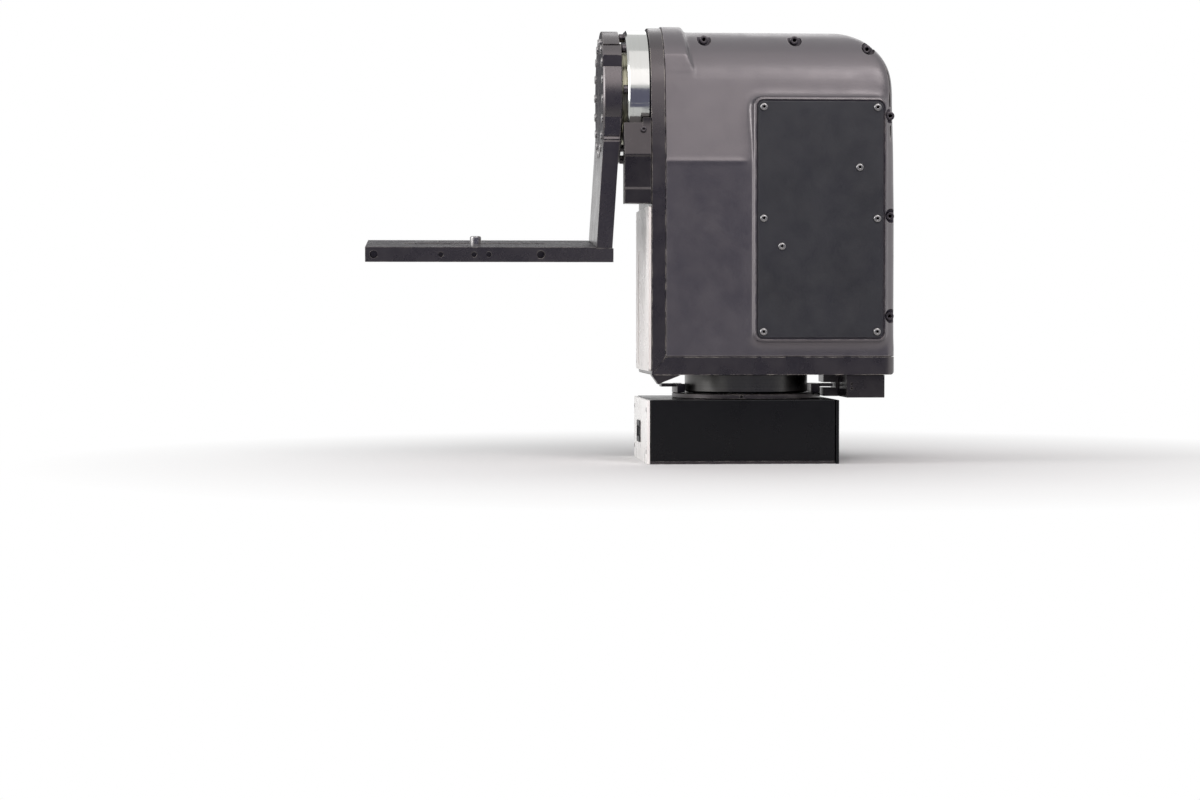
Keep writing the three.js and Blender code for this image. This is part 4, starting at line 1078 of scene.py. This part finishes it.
class PANTILT_OT_pan_parts(bpy.types.Operator):
    """Drum, flange, limit flags, sensor block and pointer between the base and the head"""

    bl_idname = "pan_tilt.pan_parts"
    bl_label = "Pan drum and flange"

    def execute(self, context):
        low, high = node_box("pan_drum")
        radius = high[0]
        drum = turned("turned_drum", "z", [
            (27.3, low[2]), (radius - 1.1, low[2]), (radius, low[2] + 1.1), (radius, high[2] - 0.5),
            (radius - 0.5, high[2]), (27.3, high[2]),
        ], steps=160)
        finish_piece(drum, "drum", "head", "pan_drum")
        low, high = node_box("pan_flange")
        top, under, radius = high[2], 52.3, high[0]
        flange = turned("bearing_flange", "z", [
            (32, low[2]), (42.4, low[2]), (42.4, under), (radius - 0.4, under), (radius, under + 0.4),
            (radius, top - 0.6), (radius - 0.6, top), (36.3, top), (36.3, 39.7), (32, 39.7),
        ], steps=160)
        hole = rod("hole", "y", 1.3, -radius - 2, -radius + 6, (-11, 0, 54.3), 24)
        spots = [math.radians(45 + 90 * i) for i in range(4)]
        places = [(53 * math.cos(a), 53 * math.sin(a), 0) for a in spots]
        cut(flange, hole, rods("z", 3.2, top - 3, top + 2, places, 24))
        finish_piece(flange, "block", "base", "pan_flange")
        for name, middle_deg in (("left", 180), ("right", 0)):
            flag_low, flag_high = node_box(f"limit_flag_{name}")
            top = flag_high[2]
            flag = prism(f"stop_flag_{name}", "z", sector(54.6, 61.5, middle_deg, 34), flag_low[2], top)
            boolean(flag, "UNION", prism("lip", "z", sector(58, 72, middle_deg, 16), top - 2.5, top))
            finish_piece(flag, "block", "base", f"limit_flag_{name}", edge=(0.35, 2, 30))
        low, high = node_box("pan_sensor_block")
        outline = [
            (62.9, -14), (75, -14), (75, low[1]), (high[0], low[1]), (high[0], high[1]),
            (75, high[1]), (75, 14), (62.9, 14),
        ]
        block = prism("sensor_housing", "z", outline, low[2], high[2])
        mid = node_box("limit_flag_right")[1][2] - 1.25
        slot = box("slot", (60, -18, mid - 2.3), (73.3, 18, mid + 2.3))
        places = [(79, 0, mid + v) for v in (-1.8, 1.8)]
        cut(block, slot, rods("y", 0.9, low[1] - 2, low[1] + 3, places, 20))
        finish_piece(block, "block", "head", "pan_sensor_block", edge=(0.4, 2, 30))
        low, high = node_box("index_pointer")
        left, top = low[0], high[2]
        outline = [(left, top), (left + 5.3, top - 7.4), (left + 9.3, top - 5.4), (high[0], top)]
        pointer = prism("index_wedge", "y", outline, low[1], high[1])
        finish_piece(pointer, "block", "head", "index_pointer", edge=(0.3, 2, 20))
        return {"FINISHED"}


class PANTILT_OT_base(bpy.types.Operator):
    """Base box with its two hanging side panels, the inlet and its pins"""

    bl_idname = "pan_tilt.base"
    bl_label = "Base box"

    def execute(self, context):
        low, high = node_box("base_housing")
        outer = pane("base_box", "z", low, high, 0, 2, low[2], high[2], 6)
        inner = box(
            "inner", (low[0] + 4, low[1] + 4, low[2] - 2), (high[0] - 4, high[1] - 4, high[2] - 5),
        )
        bore = rod("bore", "z", 42.7, high[2] - 8, high[2] + 2, facets=96)
        port_low, port_high = node_box("base_inlet")
        port = [v + 2.7 for v in port_low[1:]], [v - 2.7 for v in port_high[1:]]
        opening = box("opening", (low[0] - 5, *port[0]), (low[0] + 6, *port[1]))
        cut(outer, inner, bore, opening)
        finish_piece(outer, "base", "base", "base_housing", edge=(0.7, 3, 35))
        for name, finish in (("left", "pale"), ("right", "base")):
            low, high = node_box(f"base_panel_{name}")
            panel = box(f"base_side_{name}", low, high)
            side, way, face = (1, "-x", low[0]) if name == "left" else (-1, "x", high[0])
            places = [(0, y, z) for y in (low[1] + 7, high[1] - 7) for z in (10, high[2] - 8)]
            cut(panel, rods("x", 2.6, face - 0.9, face + 0.9, places, 24))
            if name == "left":
                cut(panel, box("opening", (low[0] - 5, *port[0]), (high[0] + 5, *port[1])))
            finish_piece(panel, finish, "base", f"base_panel_{name}", edge=(0.6, 3, 35))
            for i, (_, y, z) in enumerate(places, 1):
                place = (face + side * 0.86, y, z)
                shape = (2.4, 1.2, 1.2, 0.8, 0.9)
                set_screw(f"base_screw_{name}_{i}", shape, way, place, "screw", "base")
        low, high = port_low, port_high
        body = box("supply_inlet", (low[0], low[1] + 3, low[2] + 3), (high[0], high[1] - 3, high[2] - 3))
        boolean(body, "UNION", pane("collar", "x", low, high, 0, 2, low[0], low[0] + 0.8, 5))
        cut(body, box(
            "recess", (low[0] - 2, low[1] + 4.5, low[2] + 4.5),
            (low[0] + 8.8, high[1] - 4.5, high[2] - 4.5),
        ))
        finish_piece(body, "plastic", "base", "base_inlet", edge=(0.25, 2, 30))
        mid_y, mid_z = (low[1] + high[1]) / 2, (low[2] + high[2]) / 2
        for i in range(6):
            place = (0, mid_y - 6 + 6 * (i % 3), mid_z - 1.6 + 3.2 * (i // 3))
            make_pin(f"inlet_pin_{i + 1}", "x", low[0] + 3.2, low[0] + 9.5, place, "base")
        return {"FINISHED"}


def make_pin(name, axis, start, end, place, body):
    pin = rod(name, axis, 0.6, start, end, place, 16)
    finish_piece(pin, "adapter", body, edge=(0.25, 2, 40))


class PANTILT_OT_rear_panel(bpy.types.Operator):
    """Connector panel on the rear cover, with round sockets in their nuts and corner screws"""

    bl_idname = "pan_tilt.rear_panel"
    bl_label = "Connector panel"

    def execute(self, context):
        low, high = node_box("connector_panel")
        face = high[1]
        panel = pane("rear_connector_panel", "y", low, high, 0, 4, low[1], face)
        sockets = [(34, 155, 8.5), (74, 155, 8.5), (34, 124, 6.2), (54, 124, 6.2), (74, 124, 6.2)]
        holes = [rod("hole", "y", r, low[1] - 2, face + 2, (x, 0, z), 40) for x, z, r in sockets]
        spots = [(x, 0, z) for x in (low[0] + 5, high[0] - 5) for z in (low[2] + 5, high[2] - 5)]
        wells = rods("y", 2.5, face - 1.4, face + 1, spots, 32)
        cut(panel, joined("holes", [*holes, wells]))
        finish_piece(panel, "plate", "head", "connector_panel", edge=(0.35, 2, 35))
        for i, (x, z, r) in enumerate(sockets, 1):
            socket = turned(f"rear_socket_{i}", "y", [
                (0, face - 7), (r - 2.2, face - 7), (r - 2.2, face - 0.6), (r - 1.6, face),
                (r - 0.5, face), (r - 0.1, face - 0.5), (r - 0.1, face - 9), (0, face - 9),
            ], (x, 0, z), 48, closed=False)
            finish_piece(socket, "drive", "head")
            pins, circle = 5 if r > 8 else 3, (r - 5) * 0.8
            for k in range(pins):
                angle = 2 * math.pi * k / pins
                place = (x + circle * math.cos(angle), 0, z + circle * math.sin(angle))
                make_pin(f"rear_pin_{i}_{k + 1}", "y", face - 7.5, face - 2.5, place, "head")
        for i, (x, _, z) in enumerate(spots, 1):
            shape = (2.2, 1.3, 1.0, 0.3, 0.9)
            place = (x, face - 1.35, z)
            set_screw(f"connector_screw_{i}", shape, "y", place, "oxide", "head")
        return {"FINISHED"}


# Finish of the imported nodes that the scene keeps
NODE_FINISHES = {
    "frame": ["base_plate"],
    "bearing": [
        "pan_bearing_outer", "pan_bearing_inner", "pan_spindle", "tilt_bearing_outer",
        "tilt_bearing_inner", "tilt_shaft",
    ],
    "drive": ["pan_pinion", "pan_pulley", "tilt_pinion", "tilt_pulley", "tilt_motor_bracket"],
    "rubber": ["pan_belt", "tilt_belt", "cover_seal"],
    "motor": ["pan_motor", "tilt_motor"],
    "plastic": ["slip_ring_stator", "slip_ring_rotor"],
    "tray": ["board_tray"],
    "board": ["main_board", "drive_board"],
}


class PANTILT_OT_inner_parts(bpy.types.Operator):
    """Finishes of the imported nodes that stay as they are"""

    bl_idname = "pan_tilt.inner_parts"
    bl_label = "Inner parts"

    def execute(self, context):
        for finish, nodes in NODE_FINISHES.items():
            for name in nodes:
                node = frame["nodes"][name]
                node.data.materials.clear()
                node.data.materials.append(MATERIALS[finish])
        return {"FINISHED"}


def seen_directly(tree):
    """1 for what the camera sees itself, mirrored or through glass, and 0 for the light it gives."""
    rays = add_node(tree, "LightPath").outputs
    total = rays["Is Camera Ray"]
    for name in ("Is Glossy Ray", "Is Transmission Ray"):
        total = add_node(tree, "Math", (total, rays[name]), operation="MAXIMUM")
    return total


def make_floor(settings):
    """Round pale floor that keeps the object's shadow and turns white away from it."""
    bpy.ops.object.select_all(action="DESELECT")
    bpy.ops.mesh.primitive_circle_add(vertices=128, radius=9, fill_type="NGON")
    floor = settle(bpy.context.object, "studio_floor")
    paper, tree, shader, place = new_material("seamless_paper", 0.9, Specular_IOR_Level=0.1)
    # Matt paper: broad clouds of 300 mm, one and a half percent darker than the rest
    clouds = add_node(tree, "TexNoise", grain(place, 300))
    pale = [*settings.floor_colour, 1]
    dark = [c * 0.985 for c in settings.floor_colour] + [1]
    tone = add_node(tree, "Mix", {0: clouds, 6: pale, 7: dark}, data_type="RGBA")
    fill_inputs(shader, {"Base Color": tone})
    reach = add_node(tree, "VectorMath", (place,), operation="LENGTH")
    far = add_node(tree, "MapRange", (reach, 0.14, 0.6))
    fade = add_node(tree, "Math", (far, seen_directly(tree)), operation="MULTIPLY")
    blend = add_node(tree, "MixShader", (fade, shader, add_node(tree, "Emission")))
    fill_inputs(tree.nodes["Material Output"], {"Surface": blend})
    floor.data.materials.append(paper)


def dark_card(name, place, size, colour, upright=False):
    """Dark sheet that only reflections see, like the flags of a product studio."""
    bpy.ops.object.select_all(action="DESELECT")
    turn = math.pi / 2 if upright else 0
    bpy.ops.mesh.primitive_plane_add(size=1, location=place, rotation=(turn, 0, 0))
    card = bpy.context.object
    card.scale = (*size, 1)
    settle(card, name)
    felt = bpy.data.materials.new(f"{name}_felt")
    felt.use_nodes = True
    tree = felt.node_tree
    tree.nodes.clear()
    glow = add_node(tree, "Emission", {"Color": (*colour, 1)})
    add_node(tree, "OutputMaterial", {"Surface": glow})
    card.data.materials.append(felt)
    for ray in ("camera", "diffuse", "transmission", "volume_scatter", "shadow"):
        setattr(card, f"visible_{ray}", False)


def lamp(name, place, target, size, power):
    """Rectangular softbox aimed at a point, in metres and watts."""
    light = bpy.data.lights.new(name, "AREA")
    light.shape = "RECTANGLE"
    light.size, light.size_y = size
    light.energy = power
    item = bpy.data.objects.new(name, light)
    bpy.context.scene.collection.objects.link(item)
    item.location = place
    item.rotation_euler = (Vector(target) - Vector(place)).to_track_quat("-Z", "Y").to_euler()
    return item


class PANTILT_OT_stage(bpy.types.Operator):
    """Pale floor, white surround, softboxes and the camera"""

    bl_idname = "pan_tilt.stage"
    bl_label = "Stage"

    def execute(self, context):
        settings = context.scene.pan_tilt_stage
        context.scene.view_settings.view_transform = "Standard"
        make_floor(settings)
        card, rear = settings.card_colour, settings.rear_colour
        dark_card("front_card", (0.45, -1.35, 0.32), (3.5, 0.6), card, upright=True)
        # The gap between the two near cards gives the light stripe low on the tilt ring.
        dark_card("floor_card", (0.1, -1.1, 0.015), (2.8, 0.46), card)
        dark_card("floor_card_left", (-0.69, -0.65, 0.015), (1.22, 0.44), rear)
        dark_card("floor_card_right", (0.74, -0.65, 0.015), (1.5, 0.44), rear)
        dark_card("rear_card", (-0.33, 1.0, 0.665), (0.6, 0.66), rear, upright=True)
        world = bpy.data.worlds.new("studio")
        world.use_nodes = True
        context.scene.world = world
        tree = world.node_tree
        strength = add_node(tree, "MapRange", (seen_directly(tree), 0, 1, settings.world_strength, 1.0))
        fill_inputs(tree.nodes["Background"], {"Color": (1, 1, 1, 1), "Strength": strength})
        front, middle, size = (0.1, -2.3, 1.75), (0.0, 0.0, 0.2), (2.6, 1.3)
        key = lamp("high_softbox", front, middle, size, settings.key_power)
        fill = lamp("fill_softbox", front, middle, size, settings.fill_power)
        fill.visible_glossy = False
        top = lamp("top_softbox", (0.1, -0.95, 2.25), (0.0, 0.0, 0.3), (2.4, 1.5), settings.top_power)
        key.data.color = top.data.color = fill.data.color = settings.key_tint
        corner = (0.087, -0.05, 0.317)
        lamp("corner_softbox", (0.72, -1.5, 1.76), corner, (0.8, 0.8), settings.corner_power)
        lamp("left_softbox", (-2.4, -0.4, 1.0), middle, (1.2, 1.6), settings.left_power)
        lamp("right_softbox", (2.4, -0.2, 1.0), middle, (1.2, 1.6), settings.right_power)
        lamp("back_softbox", (0.2, 2.4, 1.8), middle, (2.4, 1.2), settings.back_power)
        camera = bpy.data.objects.new("camera", bpy.data.cameras.new("camera"))
        context.scene.collection.objects.link(camera)
        camera.data.lens = settings.lens
        camera.data.sensor_width = 36
        camera.location = (-0.2605, -2.150, 0.1154)
        aim = Vector((168, 2600, -79))
        camera.rotation_euler = aim.to_track_quat("-Z", "Y").to_euler()
        context.scene.camera = camera
        return {"FINISHED"}


class PANTILT_PT_panel(bpy.types.Panel):
    """Buttons that build the head piece by piece"""

    bl_idname = "PANTILT_PT_panel"
    bl_label = "Pan Tilt Head"
    bl_space_type = "VIEW_3D"
    bl_region_type = "UI"
    bl_category = "Pan Tilt Head"

    def draw(self, context):
        for group in (context.scene.pan_tilt_sizes, context.scene.pan_tilt_stage):
            for name in group.bl_rna.properties.keys():
                if name not in ("name", "rna_type"):
                    self.layout.prop(group, name)
        for operator in OPERATORS:
            self.layout.operator(operator.bl_idname)


OPERATORS = (
    PANTILT_OT_stage, PANTILT_OT_inner_parts, PANTILT_OT_covers, PANTILT_OT_plates,
    PANTILT_OT_access_plate, PANTILT_OT_screws, PANTILT_OT_side_panel, PANTILT_OT_tilt_ring,
    PANTILT_OT_tilt_block, PANTILT_OT_bracket, PANTILT_OT_pan_parts, PANTILT_OT_base,
    PANTILT_OT_rear_panel,
)
CLASSES = (HeadSizes, StageSettings, *OPERATORS, PANTILT_PT_panel)


def register():
    for item in CLASSES:
        bpy.utils.register_class(item)
    bpy.types.Scene.pan_tilt_sizes = PointerProperty(type=HeadSizes)
    bpy.types.Scene.pan_tilt_stage = PointerProperty(type=StageSettings)


def unregister():
    del bpy.types.Scene.pan_tilt_stage
    del bpy.types.Scene.pan_tilt_sizes
    for item in reversed(CLASSES):
        bpy.utils.unregister_class(item)


def main():
    register()
    make_materials()
    for operator in OPERATORS:
        group, name = operator.bl_idname.split(".")
        getattr(getattr(bpy.ops, group), name)()


if __name__ == "__main__":
    main()
